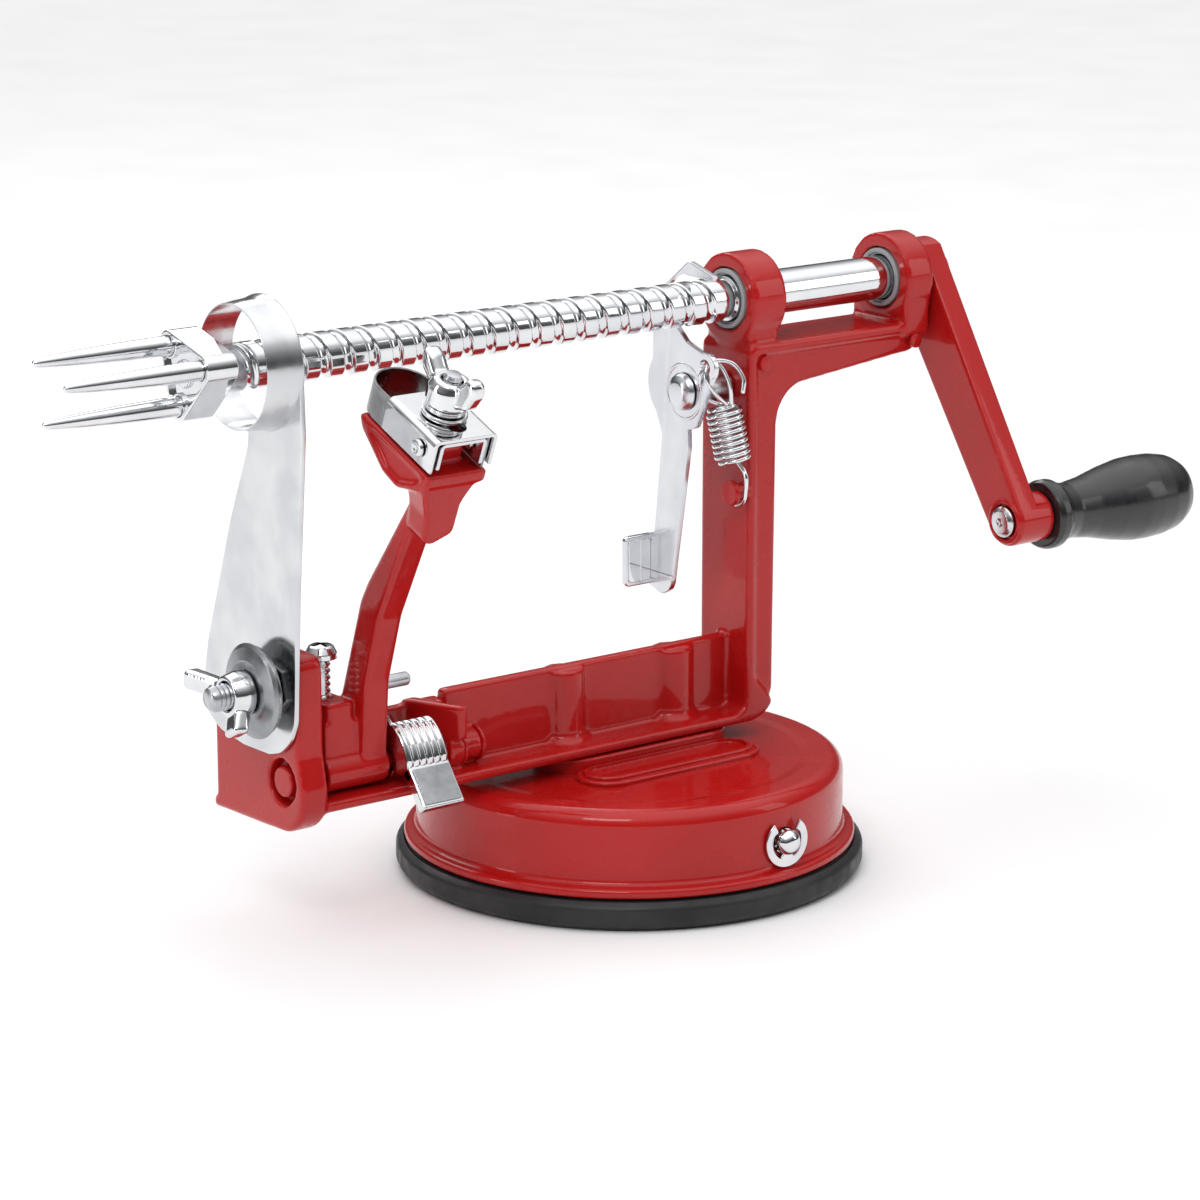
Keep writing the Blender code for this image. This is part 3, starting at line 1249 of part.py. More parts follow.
def clamp_wing_nut():
    centre = (0, CLAMP_AT)
    bore = CLAMP_BOLT_RADIUS + GAP
    low = 3 * GAP + 2.1
    profile = [(bore, low), (4.6, low), (4.6, low + 2.6), (3.6, low + 5.4), (bore, low + 5.4)]
    nut = piece("peeler_wing_nut", in_head(turned(profile, "Z", centre, 20)), chrome(), clamp_pivot())
    outline, thickness = wing(3.2, 7.4, low + 1.0, low + 9.5, 1.7)
    for side in (-1, 1):
        points = [(CLAMP_AT + side * r, h) for r, h in outline]
        fuse(nut, in_head(prism(points, "X", -thickness, thickness)))


def clamp_pivot():
    return tuple(head_matrix() @ Vector((0, CLAMP_AT, 0)))


# ---------------------------------------------------------------- slicer blade


def slicer_outline():
    """The blade from the front: a broad foot, a long near edge and a neck into the ring."""
    points = [(-9.7, 50.0), (-7.4, 45.6), (-3.8, 42.6), (0.5, 41.4), (10.2, 41.3), (19.2, 42.6)]
    points += [(24.2, 45.4), (25.8, 50.5), (23.5, 61.5), (13.6, 89.7), (6.2, 106.6)]
    points += [(5.6, SHAFT_HEIGHT - 10), (-10.0, SHAFT_HEIGHT - 2), (-RING_BACK_RADIUS + 0.2, SHAFT_HEIGHT - 1)]
    points += [(-14.3, 112.0), (-11.2, 77.2)]
    return points


def plate_back():
    return BLOCK_FRONT - GAP


def slicer_blade():
    back = plate_back()
    front = back - SLICER_THICKNESS
    pivot = (front, *BOLT_AXIS)
    blade = piece("slicer_corer_blade", prism(slicer_outline(), "X", front, back), polished_steel(), pivot)
    rim = back - RING_LENGTH
    profile = [(RING_RADIUS - 1, rim), (RING_RADIUS + 0.5, rim), (RING_BACK_RADIUS + 0.3, back - 0.2)]
    profile += [(RING_RADIUS - 1, back - 0.2)]
    fuse(blade, turned(profile, "X", SHAFT_AXIS, 40))
    cut(blade, rod(RING_RADIUS, "X", SHAFT_AXIS, rim - CUT, back + CUT, 40))
    cut(blade, rod(BOLT_RADIUS + GAP, "X", BOLT_AXIS, front - CUT, back + CUT, 20))


def bolt_stack():
    """The bolt through the front block and the nut and washers that clamp the blade."""
    front = plate_back() - SLICER_THICKNESS
    bore = BOLT_RADIUS + GAP
    head = block_back() + GAP
    hexagon = arc(*BOLT_AXIS, BOLT_HEAD_RADIUS, 30, 330, 5)
    bolt = piece("blade_bolt", prism(hexagon, "X", head, head + BOLT_HEAD_HEIGHT), zinc_steel())
    tip = front - BOLT_LENGTH
    fuse(bolt, rod(BOLT_RADIUS, "X", BOLT_AXIS, tip, head + 1, 20))
    high = front - GAP
    low = high - CLAMP_NUT_THICKNESS
    hexagon = arc(*BOLT_AXIS, CLAMP_NUT_RADIUS, 15, 315, 5)
    nut = piece("clamp_nut", prism(hexagon, "X", low, high), zinc_steel())
    cut(nut, rod(bore, "X", BOLT_AXIS, low - CUT, high + CUT, 20))
    high = low - GAP
    low = high - BACK_WASHER_THICKNESS
    piece("back_washer", tube(BACK_WASHER_RADIUS, bore, "X", BOLT_AXIS, low, high, 32), dark_steel())
    high = low - GAP
    low = high - FRONT_WASHER_THICKNESS
    piece("front_washer", tube(FRONT_WASHER_RADIUS, bore, "X", BOLT_AXIS, low, high, 32), zinc_steel())
    blade_wing_nut(low - GAP)


def blade_wing_nut(base):
    bore = BOLT_RADIUS + GAP
    end = base - WING_NUT_LENGTH
    profile = [(bore, base), (WING_NUT_RADIUS, base), (WING_NUT_RADIUS, base - 2), (4.1, end), (bore, end)]
    pivot = (base, *BOLT_AXIS)
    nut = piece("blade_wing_nut", turned(profile, "X", BOLT_AXIS, 20), chrome(), pivot)
    outline, thickness = wing(3.6, WING_LENGTH - 3.6, 0.8, 9.0, 1.9)
    tilt = math.radians(22)
    for side in (-1, 1):
        points = [(base - h, side * r) for r, h in outline]
        shape = prism(points, "Z", -thickness, thickness)
        turn = Matrix.Rotation(tilt, 4, "X")
        place = Matrix.Translation((0, BOLT_AXIS[0], BOLT_AXIS[1]))
        bmesh.ops.transform(shape, matrix=place @ turn, verts=shape.verts)
        fuse(nut, shape)


def build():
    clear_scene()
    suction_pad()
    base_dome()
    lid_screws()
    cam_axle()
    axle_clip()
    lift_cams()
    lift_plate()
    suction_lever()
    frame_casting()
    bushes()
    threaded_shaft()
    fork_hub()
    fork_prongs()
    crank_arm()
    crank_screw()
    knob_spindle()
    crank_knob()
    release_lever()
    lever_rivet()
    lever_spacer()
    lever_spring()
    peeler_arm()
    arm_hinge_pin()
    arm_pin()
    stop_screw()
    torsion_spring()
    latch()
    blade_bracket()
    blade_carrier()
    peeler_blade()
    blade_rivets()
    clamp_stack()
    clamp_wing_nut()
    slicer_blade()
    bolt_stack()


build()
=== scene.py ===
"""Looks for the apple peeler corer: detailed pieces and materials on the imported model."""

import json
import math

import bmesh
import bpy
from mathutils import Matrix, Vector

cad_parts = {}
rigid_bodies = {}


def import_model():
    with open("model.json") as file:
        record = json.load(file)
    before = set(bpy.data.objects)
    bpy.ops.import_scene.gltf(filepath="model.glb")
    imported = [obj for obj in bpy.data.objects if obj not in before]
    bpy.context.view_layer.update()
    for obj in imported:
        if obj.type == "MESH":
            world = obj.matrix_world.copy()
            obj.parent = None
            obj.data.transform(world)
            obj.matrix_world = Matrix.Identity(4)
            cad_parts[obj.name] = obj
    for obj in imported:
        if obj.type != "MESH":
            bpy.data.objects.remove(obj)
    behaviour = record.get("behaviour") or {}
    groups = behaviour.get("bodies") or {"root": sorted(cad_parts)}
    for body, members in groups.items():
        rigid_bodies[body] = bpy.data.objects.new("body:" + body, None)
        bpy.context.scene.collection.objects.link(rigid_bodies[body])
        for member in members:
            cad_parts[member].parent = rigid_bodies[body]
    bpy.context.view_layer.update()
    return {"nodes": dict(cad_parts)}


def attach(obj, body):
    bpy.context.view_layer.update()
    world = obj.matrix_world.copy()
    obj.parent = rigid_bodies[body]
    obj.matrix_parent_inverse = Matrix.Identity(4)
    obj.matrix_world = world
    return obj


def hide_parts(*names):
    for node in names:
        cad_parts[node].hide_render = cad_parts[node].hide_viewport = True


MM = 0.001
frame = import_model()

SHAFT_Z = 125.0
SHAFT_RADIUS = 5.0
THREAD_PITCH = 6.0
THREAD_TURNS = 21
# Where each axis crosses its own plane: Y and Z for an axis along X.
SHAFT = (0.0, SHAFT_Z)
HINGE = (-2.1, 35.7)
BOLT = (0.0, 56.0)
LEVER = (0.0, 105.4)
ARM_PIN = (-3.4, 53.4)
SPRING_HOLE = (-7.2, 111.8)
SPRING_STUB = (-7.0, 82.5)
# X and Z for the suction axle along Y, then X and Y for screws along Z.
AXLE = (5.4, 15.1)
STOP = (-80.2, 3.1)
FRAME_SCREWS = ((-18.5, 0), (12.0, 0))
DOME_RADIUS = 47.9
DOME_TOP = 25.4
BAR_HALF_WIDTH = 8.7
FORK_ANGLES = (45.0, 165.0, 285.0)
FORK_CIRCLE = 7.2
CRANK_ANGLE = 32.9
CRANK_LENGTH = 62.4
# In the peeler head's own frame: the clamp is along its Z, the rivets along X.
CLAMP = (0, 9.0)
RIVET = (4.6, -4.05)
BOLT_BORE = 3.2
CLAMP_BORE = 2.3


# ---------------------------------------------------------------- outlines


def arc(a, b, radius, start, end, steps):
    points = []
    for index in range(steps + 1):
        angle = math.radians(start + (end - start) * index / steps)
        points.append((a + radius * math.cos(angle), b + radius * math.sin(angle)))
    return points


def soft(points, radius=0.5, steps=6):
    """A closed outline with its corners rounded. A point may carry its own radius."""
    result = []
    count = len(points)
    for index, point in enumerate(points):
        here = Vector(point[:2])
        back = Vector(points[index - 1][:2]) - here
        ahead = Vector(points[(index + 1) % count][:2]) - here
        r = point[2] if len(point) > 2 else radius
        turn = back.angle(ahead)
        if r <= 0 or turn > math.pi - 0.03:
            result.append(tuple(here))
            continue
        reach = min(r / math.tan(turn / 2), 0.48 * min(back.length, ahead.length))
        r = reach * math.tan(turn / 2)
        back.normalize()
        ahead.normalize()
        centre = here + (back + ahead).normalized() * (r / math.sin(turn / 2))
        first = here + back * reach - centre
        last = here + ahead * reach - centre
        start = math.atan2(first.y, first.x)
        sweep = (math.atan2(last.y, last.x) - start + math.pi) % math.tau - math.pi
        parts = max(2, math.ceil(abs(sweep) / (math.pi / 2 / steps)))
        for part in range(parts + 1):
            angle = start + sweep * part / parts
            result.append((centre.x + r * math.cos(angle), centre.y + r * math.sin(angle)))
    return result


def box2(a0, a1, b0, b1):
    return [(a0, b0), (a1, b0), (a1, b1), (a0, b1)]


def pill(a0, a1, b0, b1, steps=12):
    r = (b1 - b0) / 2
    m = (b1 + b0) / 2
    return arc(a1 - r, m, r, -90, 90, steps) + arc(a0 + r, m, r, 90, 270, steps)


def inset(outline, distance):
    count = len(outline)
    area = sum(outline[i - 1][0] * outline[i][1] - outline[i][0] * outline[i - 1][1] for i in range(count))
    sign = 1 if area > 0 else -1
    result = []
    for i in range(count):
        here = Vector(outline[i])
        e0 = here - Vector(outline[i - 1])
        e1 = Vector(outline[(i + 1) % count]) - here
        if e0.length < 1e-6:
            e0 = e1
        if e1.length < 1e-6:
            e1 = e0
        e0.normalize()
        e1.normalize()
        n0 = Vector((-e0.y, e0.x)) * sign
        n1 = Vector((-e1.y, e1.x)) * sign
        m = n0 + n1
        m = n0 if m.length < 1e-6 else m.normalized()
        result.append(tuple(here + m * (distance / max(m.dot(n0), 0.6))))
    return result


# ---------------------------------------------------------------- meshes, in millimetres


def at(axis, a, b, along):
    if axis == "X":
        return Vector((along, a, b))
    if axis == "Y":
        return Vector((a, along, b))
    return Vector((a, b, along))


def bridge(mesh, first, second):
    count = max(len(first), len(second))
    if count == 1:
        return
    for i in range(count):
        j = (i + 1) % count
        corners = []
        low_side = (first[i % len(first)], first[j % len(first)])
        high_side = (second[j % len(second)], second[i % len(second)])
        for v in low_side + high_side:
            if v not in corners:
                corners.append(v)
        mesh.faces.new(corners)


def slab(outline, axis, low, high, edge=0.4, steps=3, low_edge=None):
    """A prism whose two rims are rounded."""
    mesh = bmesh.new()
    low_edge = edge if low_edge is None else low_edge
    stations = []
    for k in range(steps + 1 if low_edge else 1):
        t = math.pi / 2 * k / steps if low_edge else math.pi / 2
        stations.append((low_edge * (1 - math.sin(t)), low + low_edge * (1 - math.cos(t))))
    for k in range(steps, -1, -1) if edge else [steps]:
        t = math.pi / 2 * k / steps
        stations.append((edge * (1 - math.sin(t)), high - edge * (1 - math.cos(t))))
    rings = []
    for distance, along in stations:
        ring = inset(outline, distance) if distance > 1e-6 else outline
        rings.append([mesh.verts.new(at(axis, p[0], p[1], along)) for p in ring])
    for first, second in zip(rings, rings[1:]):
        bridge(mesh, first, second)
    for ring in (rings[0], rings[-1]):
        kept = ring[0]
        for vert in ring[1:]:
            if (vert.co - kept.co).length < 0.06:
                vert.co = kept.co
            else:
                kept = vert
        mesh.faces.new(ring)
    bmesh.ops.remove_doubles(mesh, verts=mesh.verts, dist=0.0002)
    caps = [face for face in mesh.faces if len(face.verts) > 4]
    bmesh.ops.triangulate(mesh, faces=caps, ngon_method="EAR_CLIP")
    return mesh


def lathe(profile, axis, centre, segments=72):
    mesh = bmesh.new()
    rings = []
    for radius, along in profile:
        if radius < 1e-6:
            rings.append([mesh.verts.new(at(axis, centre[0], centre[1], along))])
            continue
        ring = []
        for i in range(segments):
            t = math.tau * i / segments
            a = centre[0] + radius * math.cos(t)
            b = centre[1] + radius * math.sin(t)
            ring.append(mesh.verts.new(at(axis, a, b, along)))
        rings.append(ring)
    for i in range(len(rings)):
        bridge(mesh, rings[i], rings[(i + 1) % len(rings)])
    return mesh


def rod(radius, axis, centre, low, high, segments=48):
    return lathe([(0, low), (radius, low), (radius, high), (0, high)], axis, centre, segments)


def button(radius, axis, centre, low, high, edge=0.4, segments=48):
    """A rod whose high rim is rounded; high may be below low."""
    e = edge if high > low else -edge
    profile = [(0, low), (radius, low), (radius, high - e)]
    for k in (1, 2, 3):
        t = math.pi / 6 * k
        profile.append((radius - edge + edge * math.cos(t), high - e + e * math.sin(t)))
    return lathe(profile + [(0, high)], axis, centre, segments)


def washer(outer, inner, axis, centre, low, high, edge=0.2, segments=72):
    profile = soft([(inner, low), (outer, low), (outer, high), (inner, high)], edge, 3)
    return lathe(profile, axis, centre, segments)


def cross(axis, centre, half, reach, low, high):
    """The two slots of a cross-head screw."""
    a, b = centre
    shapes = (box2(a - half, a + half, b - reach, b + reach), box2(a - reach, a + reach, b - half, b + half))
    return [slab(shape, axis, low, high, 0) for shape in shapes]


def path_through(points, per=8):
    """A smooth path through the points."""
    points = [Vector(p) for p in points]
    points = [points[0] * 2 - points[1]] + points + [points[-1] * 2 - points[-2]]
    result = []
    for i in range(1, len(points) - 2):
        p0, p1, p2, p3 = points[i - 1 : i + 3]
        for k in range(per):
            t = k / per
            square = 2 * p0 - 5 * p1 + 4 * p2 - p3
            cube = 3 * p1 - p0 - 3 * p2 + p3
            result.append(0.5 * (2 * p1 + (p2 - p0) * t + square * t * t + cube * t**3))
    return result + [points[-2]]


def wire(path, radius, sides=14):
    """A round wire with domed ends."""
    mesh = bmesh.new()
    rings = []
    side = None
    last = len(path) - 1
    for i, place in enumerate(path):
        along = (path[min(i + 1, last)] - path[max(i - 1, 0)]).normalized()
        if side is None:
            side = along.orthogonal().normalized()
        side = (side - along * side.dot(along)).normalized()
        other = along.cross(side)
        shapes = [(1.0, 0.0)]
        if i == 0:
            shapes = [(0.45, -0.75), (0.85, -0.4), (1.0, 0.0)]
        if i == last:
            shapes = [(1.0, 0.0), (0.85, 0.4), (0.45, 0.75)]
        for scale, shift in shapes:
            ring = []
            for k in range(sides):
                t = math.tau * k / sides
                offset = side * math.cos(t) + other * math.sin(t)
                ring.append(mesh.verts.new(place + offset * radius * scale + along * shift * radius))
            rings.append(ring)
    for first, second in zip(rings, rings[1:]):
        bridge(mesh, first, second)
    mesh.faces.new(list(reversed(rings[0])))
    mesh.faces.new(rings[-1])
    return mesh


HEAD = Matrix.Translation((-72.4, -39.8, 113.1)) @ Matrix.Rotation(math.radians(22.5), 4, "X")


def moved(mesh, matrix):
    bmesh.ops.transform(mesh, matrix=matrix, verts=mesh.verts)
    return mesh


def in_head(mesh):
    return moved(mesh, HEAD)


def turned_about(mesh, axis, centre, degrees):
    place = Matrix.Translation(Vector(centre))
    return moved(mesh, place @ Matrix.Rotation(math.radians(degrees), 4, axis) @ place.inverted())


def link(name, mesh, collection=None):
    bmesh.ops.recalc_face_normals(mesh, faces=mesh.faces)
    if mesh.calc_volume(signed=True) < 0:
        bmesh.ops.reverse_faces(mesh, faces=mesh.faces)
    bmesh.ops.scale(mesh, vec=(MM, MM, MM), verts=mesh.verts)
    data = bpy.data.meshes.new(name)
    mesh.to_mesh(data)
    mesh.free()
    obj = bpy.data.objects.new(name, data)
    (collection or bpy.context.scene.collection).objects.link(obj)
    return obj


def together(*meshes):
    """One mesh of several closed shells."""
    result = bmesh.new()
    for mesh in meshes:
        bmesh.ops.recalc_face_normals(mesh, faces=mesh.faces)
        if mesh.calc_volume(signed=True) < 0:
            bmesh.ops.reverse_faces(mesh, faces=mesh.faces)
        data = bpy.data.meshes.new("part")
        mesh.to_mesh(data)
        mesh.free()
        result.from_mesh(data)
        bpy.data.meshes.remove(data)
    return result


def apply_modifiers(obj):
    graph = bpy.context.evaluated_depsgraph_get()
    graph.update()
    data = bpy.data.meshes.new_from_object(obj.evaluated_get(graph))
    old = obj.data
    obj.modifiers.clear()
    obj.data = data
    bpy.data.meshes.remove(old)


def weld(name, base, add=(), cut=()):
    """Joins and cuts solids into one."""
    obj = link(name, base)
    groups = []
    for operation, meshes in (("UNION", add), ("DIFFERENCE", cut)):
        if not meshes:
            continue
        group = bpy.data.collections.new(name + operation)
        bpy.context.scene.collection.children.link(group)
        for index, mesh in enumerate(meshes):
            link(f"{name}_{operation}_{index}", mesh, group)
        modifier = obj.modifiers.new(operation, "BOOLEAN")
        modifier.operation = operation
        modifier.solver = "EXACT"
        modifier.operand_type = "COLLECTION"
        modifier.collection = group
        groups.append(group)
    apply_modifiers(obj)
    for group in groups:
        for tool in list(group.objects):
            data = tool.data
            bpy.data.objects.remove(tool)
            bpy.data.meshes.remove(data)
        bpy.data.collections.remove(group)
    return obj


def cast(obj, voxel=0.5, smoothing=8):
    """Turns a welded solid into a casting, with fillets in every corner."""
    remesh = obj.modifiers.new("remesh", "REMESH")
    remesh.mode = "VOXEL"
    remesh.voxel_size = voxel * MM
    smooth = obj.modifiers.new("smooth", "SMOOTH")
    smooth.factor = 0.5
    smooth.iterations = smoothing
    apply_modifiers(obj)
    return obj


def finish(obj, body, slot, material, *nodes, angle=38, weighted=True):
    obj.data.shade_smooth()
    if angle:
        obj.data.set_sharp_from_angle(angle=math.radians(angle))
    if weighted:
        modifier = obj.modifiers.new("normals", "WEIGHTED_NORMAL")
        modifier.keep_sharp = True
    obj.data.materials.clear()
    obj.data.materials.append(material)
    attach(obj, body)
    if nodes:
        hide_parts(*nodes)
    return obj


# ---------------------------------------------------------------- materials


def new_material(name, colour, roughness, metallic=0.0, **sockets):
    material = bpy.data.materials.new(name)
    material.use_nodes = True
    shader = material.node_tree.nodes["Principled BSDF"]
    shader.inputs["Base Color"].default_value = (*colour, 1)
    shader.inputs["Roughness"].default_value = roughness
    shader.inputs["Metallic"].default_value = metallic
    for key, value in sockets.items():
        shader.inputs[key.replace("_", " ")].default_value = value
    return material


def node(material, kind, **values):
    made = material.node_tree.nodes.new(kind)
    for key, value in values.items():
        if key in made.inputs:
            made.inputs[key].default_value = value
        else:
            setattr(made, key, value)
    return made


def noise(material, scale, stretch=(1, 1, 1), detail=3.0):
    """Noise in the object's own metres, so it stays put as the piece moves."""
    tree = material.node_tree
    place = node(material, "ShaderNodeTexCoord")
    mapping = node(material, "ShaderNodeMapping")
    mapping.inputs["Scale"].default_value = stretch
    texture = node(material, "ShaderNodeTexNoise", Scale=scale, Detail=detail)
    tree.links.new(place.outputs["Object"], mapping.inputs["Vector"])
    tree.links.new(mapping.outputs["Vector"], texture.inputs["Vector"])
    return texture.outputs["Fac"]


def ramp(material, factor, low, high, start=0.35, end=0.65):
    made = node(material, "ShaderNodeMapRange")
    made.inputs["From Min"].default_value = start
    made.inputs["From Max"].default_value = end
    made.inputs["To Min"].default_value = low
    made.inputs["To Max"].default_value = high
    material.node_tree.links.new(factor, made.inputs["Value"])
    return made.outputs["Result"]


def vary_roughness(material, scale, low, high, stretch=(1, 1, 1)):
    shader = material.node_tree.nodes["Principled BSDF"]
    value = ramp(material, noise(material, scale, stretch), low, high)
    material.node_tree.links.new(value, shader.inputs["Roughness"])


def vary_colour(material, scale, dark, light, stretch=(1, 1, 1), wear_and_highlight=None):
    """Slow colour variation, and a lighter tone along the outer edges: painted edge highlight, partly wear.
    """
    tree = material.node_tree
    shader = tree.nodes["Principled BSDF"]
    mix = node(material, "ShaderNodeMix", data_type="RGBA")
    tree.links.new(ramp(material, noise(material, scale, stretch), 0, 1), mix.inputs[0])
    mix.inputs[6].default_value = (*dark, 1)
    mix.inputs[7].default_value = (*light, 1)
    colour = mix.outputs[2]
    # Lighter tone on convex edges found by pointiness and broken by noise: painted edge highlight, partly
    # wear.
    if wear_and_highlight:
        tone, amount = wear_and_highlight
        geometry = node(material, "ShaderNodeNewGeometry")
        edge = ramp(material, geometry.outputs["Pointiness"], 0, amount, 0.52, 0.6)
        broken = node(material, "ShaderNodeMath", operation="MULTIPLY")
        tree.links.new(edge, broken.inputs[0])
        tree.links.new(ramp(material, noise(material, 420), 0.2, 1), broken.inputs[1])
        worn_and_lit = node(material, "ShaderNodeMix", data_type="RGBA")
        tree.links.new(broken.outputs[0], worn_and_lit.inputs[0])
        tree.links.new(colour, worn_and_lit.inputs[6])
        worn_and_lit.inputs[7].default_value = (*tone, 1)
        colour = worn_and_lit.outputs[2]
    tree.links.new(colour, shader.inputs["Base Color"])


def bump(material, layers, coat=False):
    """Bumps added one on another, as (scale, height in metres, stretch)."""
    tree = material.node_tree
    shader = tree.nodes["Principled BSDF"]
    normal = None
    for scale, height, stretch in layers:
        made = node(material, "ShaderNodeBump", Strength=1.0, Distance=height)
        tree.links.new(noise(material, scale, stretch), made.inputs["Height"])
        if normal:
            tree.links.new(normal, made.inputs["Normal"])
        normal = made.outputs["Normal"]
    tree.links.new(normal, shader.inputs["Normal"])
    if coat:
        tree.links.new(normal, shader.inputs["Coat Normal"])


def red_enamel():
    coat = {"Coat_Weight": 0.55, "Coat_Roughness": 0.025, "Specular_IOR_Level": 0.12}
    m = new_material("red_enamel", (0.43, 0.007, 0.0065), 0.3, **coat)
    # The paler red on the edges is a painted edge highlight, partly wear.
    vary_colour(m, 45, (0.425, 0.0065, 0.006), (0.465, 0.0085, 0.008), wear_and_highlight=((0.60, 0.02, 0.022), 0.35))
    vary_roughness(m, 160, 0.24, 0.36)
    bump(m, [(240, 0.00002, (1, 1, 1)), (1400, 0.000003, (1, 1, 1))], coat=True)
    return m


def metal(name, dark, light, low, high, grain=(1, 1, 1), height=0.000003, scale=900):
    m = new_material(name, light, low, 1.0)
    # The near-white edge tone is a painted edge highlight, partly wear.
    vary_colour(m, 90, dark, light, wear_and_highlight=((0.9, 0.9, 0.9), 0.35))
    vary_roughness(m, 260, low, high, grain)
    bump(m, [(scale, height, grain)])
    return m


def chrome():
    return metal("chrome", (0.66, 0.67, 0.69), (0.76, 0.77, 0.78), 0.04, 0.09)


def satin_chrome():
    return metal("satin_chrome", (0.64, 0.65, 0.68), (0.72, 0.73, 0.76), 0.18, 0.28, (1, 1, 0.15), 0.000002)


def polished_steel():
    grain = (1, 1, 0.06)
    return metal("polished_steel", (0.58, 0.59, 0.61), (0.70, 0.71, 0.72), 0.14, 0.24, grain, 0.000003, 1500)


def zinc_steel():
    return metal("zinc_steel", (0.40, 0.41, 0.43), (0.56, 0.57, 0.59), 0.22, 0.36, (1, 1, 1), 0.000006, 1100)


def dark_steel():
    grain = (1, 1, 0.2)
    return metal("dark_steel", (0.17, 0.172, 0.175), (0.27, 0.272, 0.275), 0.2, 0.34, grain, 0.000004, 1300)


def grey_nylon():
    m = new_material("grey_nylon", (0.33, 0.34, 0.35), 0.45)
    # The lighter grey on the edges is a painted edge highlight, partly wear.
    vary_colour(m, 150, (0.29, 0.30, 0.31), (0.37, 0.38, 0.39), wear_and_highlight=((0.4, 0.41, 0.42), 0.4))
    vary_roughness(m, 500, 0.38, 0.55)
    bump(m, [(1800, 0.00001, (1, 1, 1))])
    return m


def black_rubber():
    m = new_material("black_rubber", (0.014, 0.014, 0.015), 0.5, Specular_IOR_Level=0.4)
    # The lighter tone on the edges is a painted edge highlight, partly wear.
    vary_colour(m, 70, (0.010, 0.010, 0.011), (0.022, 0.022, 0.024), wear_and_highlight=((0.05, 0.05, 0.052), 0.5))
    vary_roughness(m, 220, 0.38, 0.58)
    bump(m, [(1500, 0.00002, (1, 1, 1))])
    return m


def black_gloss():
    m = new_material("black_gloss", (0.009, 0.009, 0.010), 0.26, Coat_Weight=0.35, Coat_Roughness=0.12)
    # The lighter tone on the edges is a painted edge highlight, partly wear.
    vary_colour(m, 60, (0.007, 0.007, 0.008), (0.014, 0.014, 0.016), wear_and_highlight=((0.03, 0.03, 0.032), 0.5))
    vary_roughness(m, 240, 0.22, 0.34)
    bump(m, [(900, 0.000006, (1, 1, 1))])
    return m


RED = red_enamel()
CHROME = chrome()
SATIN = satin_chrome()
STEEL = polished_steel()
ZINC = zinc_steel()
DARK = dark_steel()
DULL = metal("dull_zinc", (0.26, 0.27, 0.285), (0.36, 0.37, 0.385), 0.26, 0.38, (1, 1, 1), 0.000006, 1100)
NYLON = grey_nylon()
RUBBER = black_rubber()
BLACK = black_gloss()


# ---------------------------------------------------------------- suction base


def build_base():
    pad = [(0, 0, 0), (44, 0, 0), (46, 0.9, 0.6), (50.6, 0, 1), (52.5, 1.6, 1.8)]
    pad += [(52.5, 5.4, 1.6), (50.8, 6.6, 1.0), (50.2, 6.0, 0.3), (49.4, 6.6, 0.3)]
    pad += [(44.5, 6.6, 0), (42.5, 3.0, 0), (0, 3.0, 0)]
    obj = link("pad_ring", lathe(soft(pad, 0.5, 8), "Z", (0, 0), 160))
    finish(obj, "base", "black_rubber", RUBBER, "suction_pad")

    outer = [(45.4, 6.9, 0), (50.6, 6.9, 0.6), (50.6, 8.9, 0.9), (DOME_RADIUS, 9.2, 1.4)]
    outer += [(DOME_RADIUS, DOME_TOP, 4.0), (40.5, DOME_TOP, 0.5), (38.2, DOME_TOP - 0.25, 0.5)]
    outer += [(0, DOME_TOP, 0), (0, DOME_TOP - 2.5, 0), (45.4, DOME_TOP - 2.5, 1.5)]
    dome = lathe(soft(outer, 0.5, 10), "Z", (0, 0), 180)
    pad = slab(pill(-24, 24, -21, -7.2, 20), "Z", 24.4, 26.3, 0.55, 4)
    rim = slab(pill(-22.4, 22.4, -19.4, -8.8, 20), "Z", 25.9, 27.0, 0.4, 3)
    hollow = slab(pill(-21.3, 21.3, -18.3, -9.9, 20), "Z", 26.15, 28.0, 0.0, 3, 0.35)
    foot = slab(pill(-25, 25, -BAR_HALF_WIDTH, BAR_HALF_WIDTH, 20), "Z", 24.3, 28.6, 0.7, 4)
    bore = rod(3.1, "Y", AXLE, -52, 52, 40)
    dome = weld("dome", dome, [pad, foot], [bore])
    finish(dome, "base", "red_enamel", RED, "base_dome")
    badge = weld("dome_badge", rim, [], [hollow])
    finish(badge, "base", "red_enamel", RED, "base_dome")


def build_clip():
    y0 = -48.05
    profile = [(0, y0 - 3.2), (1.3, y0 - 3.1), (2.2, y0 - 2.6), (2.75, y0 - 1.7)]
    profile += [(2.8, y0 - 1.2), (2.8, y0 - 1.0), (2.0, y0 - 0.9), (2.0, y0 + 0.1)]
    profile += [(2.8, y0 + 0.2), (2.8, 54.0), (2.3, 54.6), (0, 54.6)]
    finish(link("axle_pin", lathe(profile, "Y", AXLE, 48)), "axle", "chrome", CHROME, "cam_axle")
    x, z = AXLE
    outline = arc(x, z, 5.75, 128, 412, 60)
    outline += [(x + 2.9, z + 3.4), (x + 2.4, z + 2.6)]
    outline += arc(x, z, 3.9, 28, -62, 12) + arc(x, z, 2.25, -72, -108, 6)
    outline += arc(x, z, 3.9, -118, -208, 12)
    outline += [(x - 2.4, z + 2.6), (x - 2.9, z + 3.4)]
    clip = slab(soft(outline, 0.35, 4), "Y", y0 - 0.85, y0 - 0.05, 0.22, 3)
    finish(link("retaining_clip", clip), "axle", "chrome", CHROME, "axle_clip")


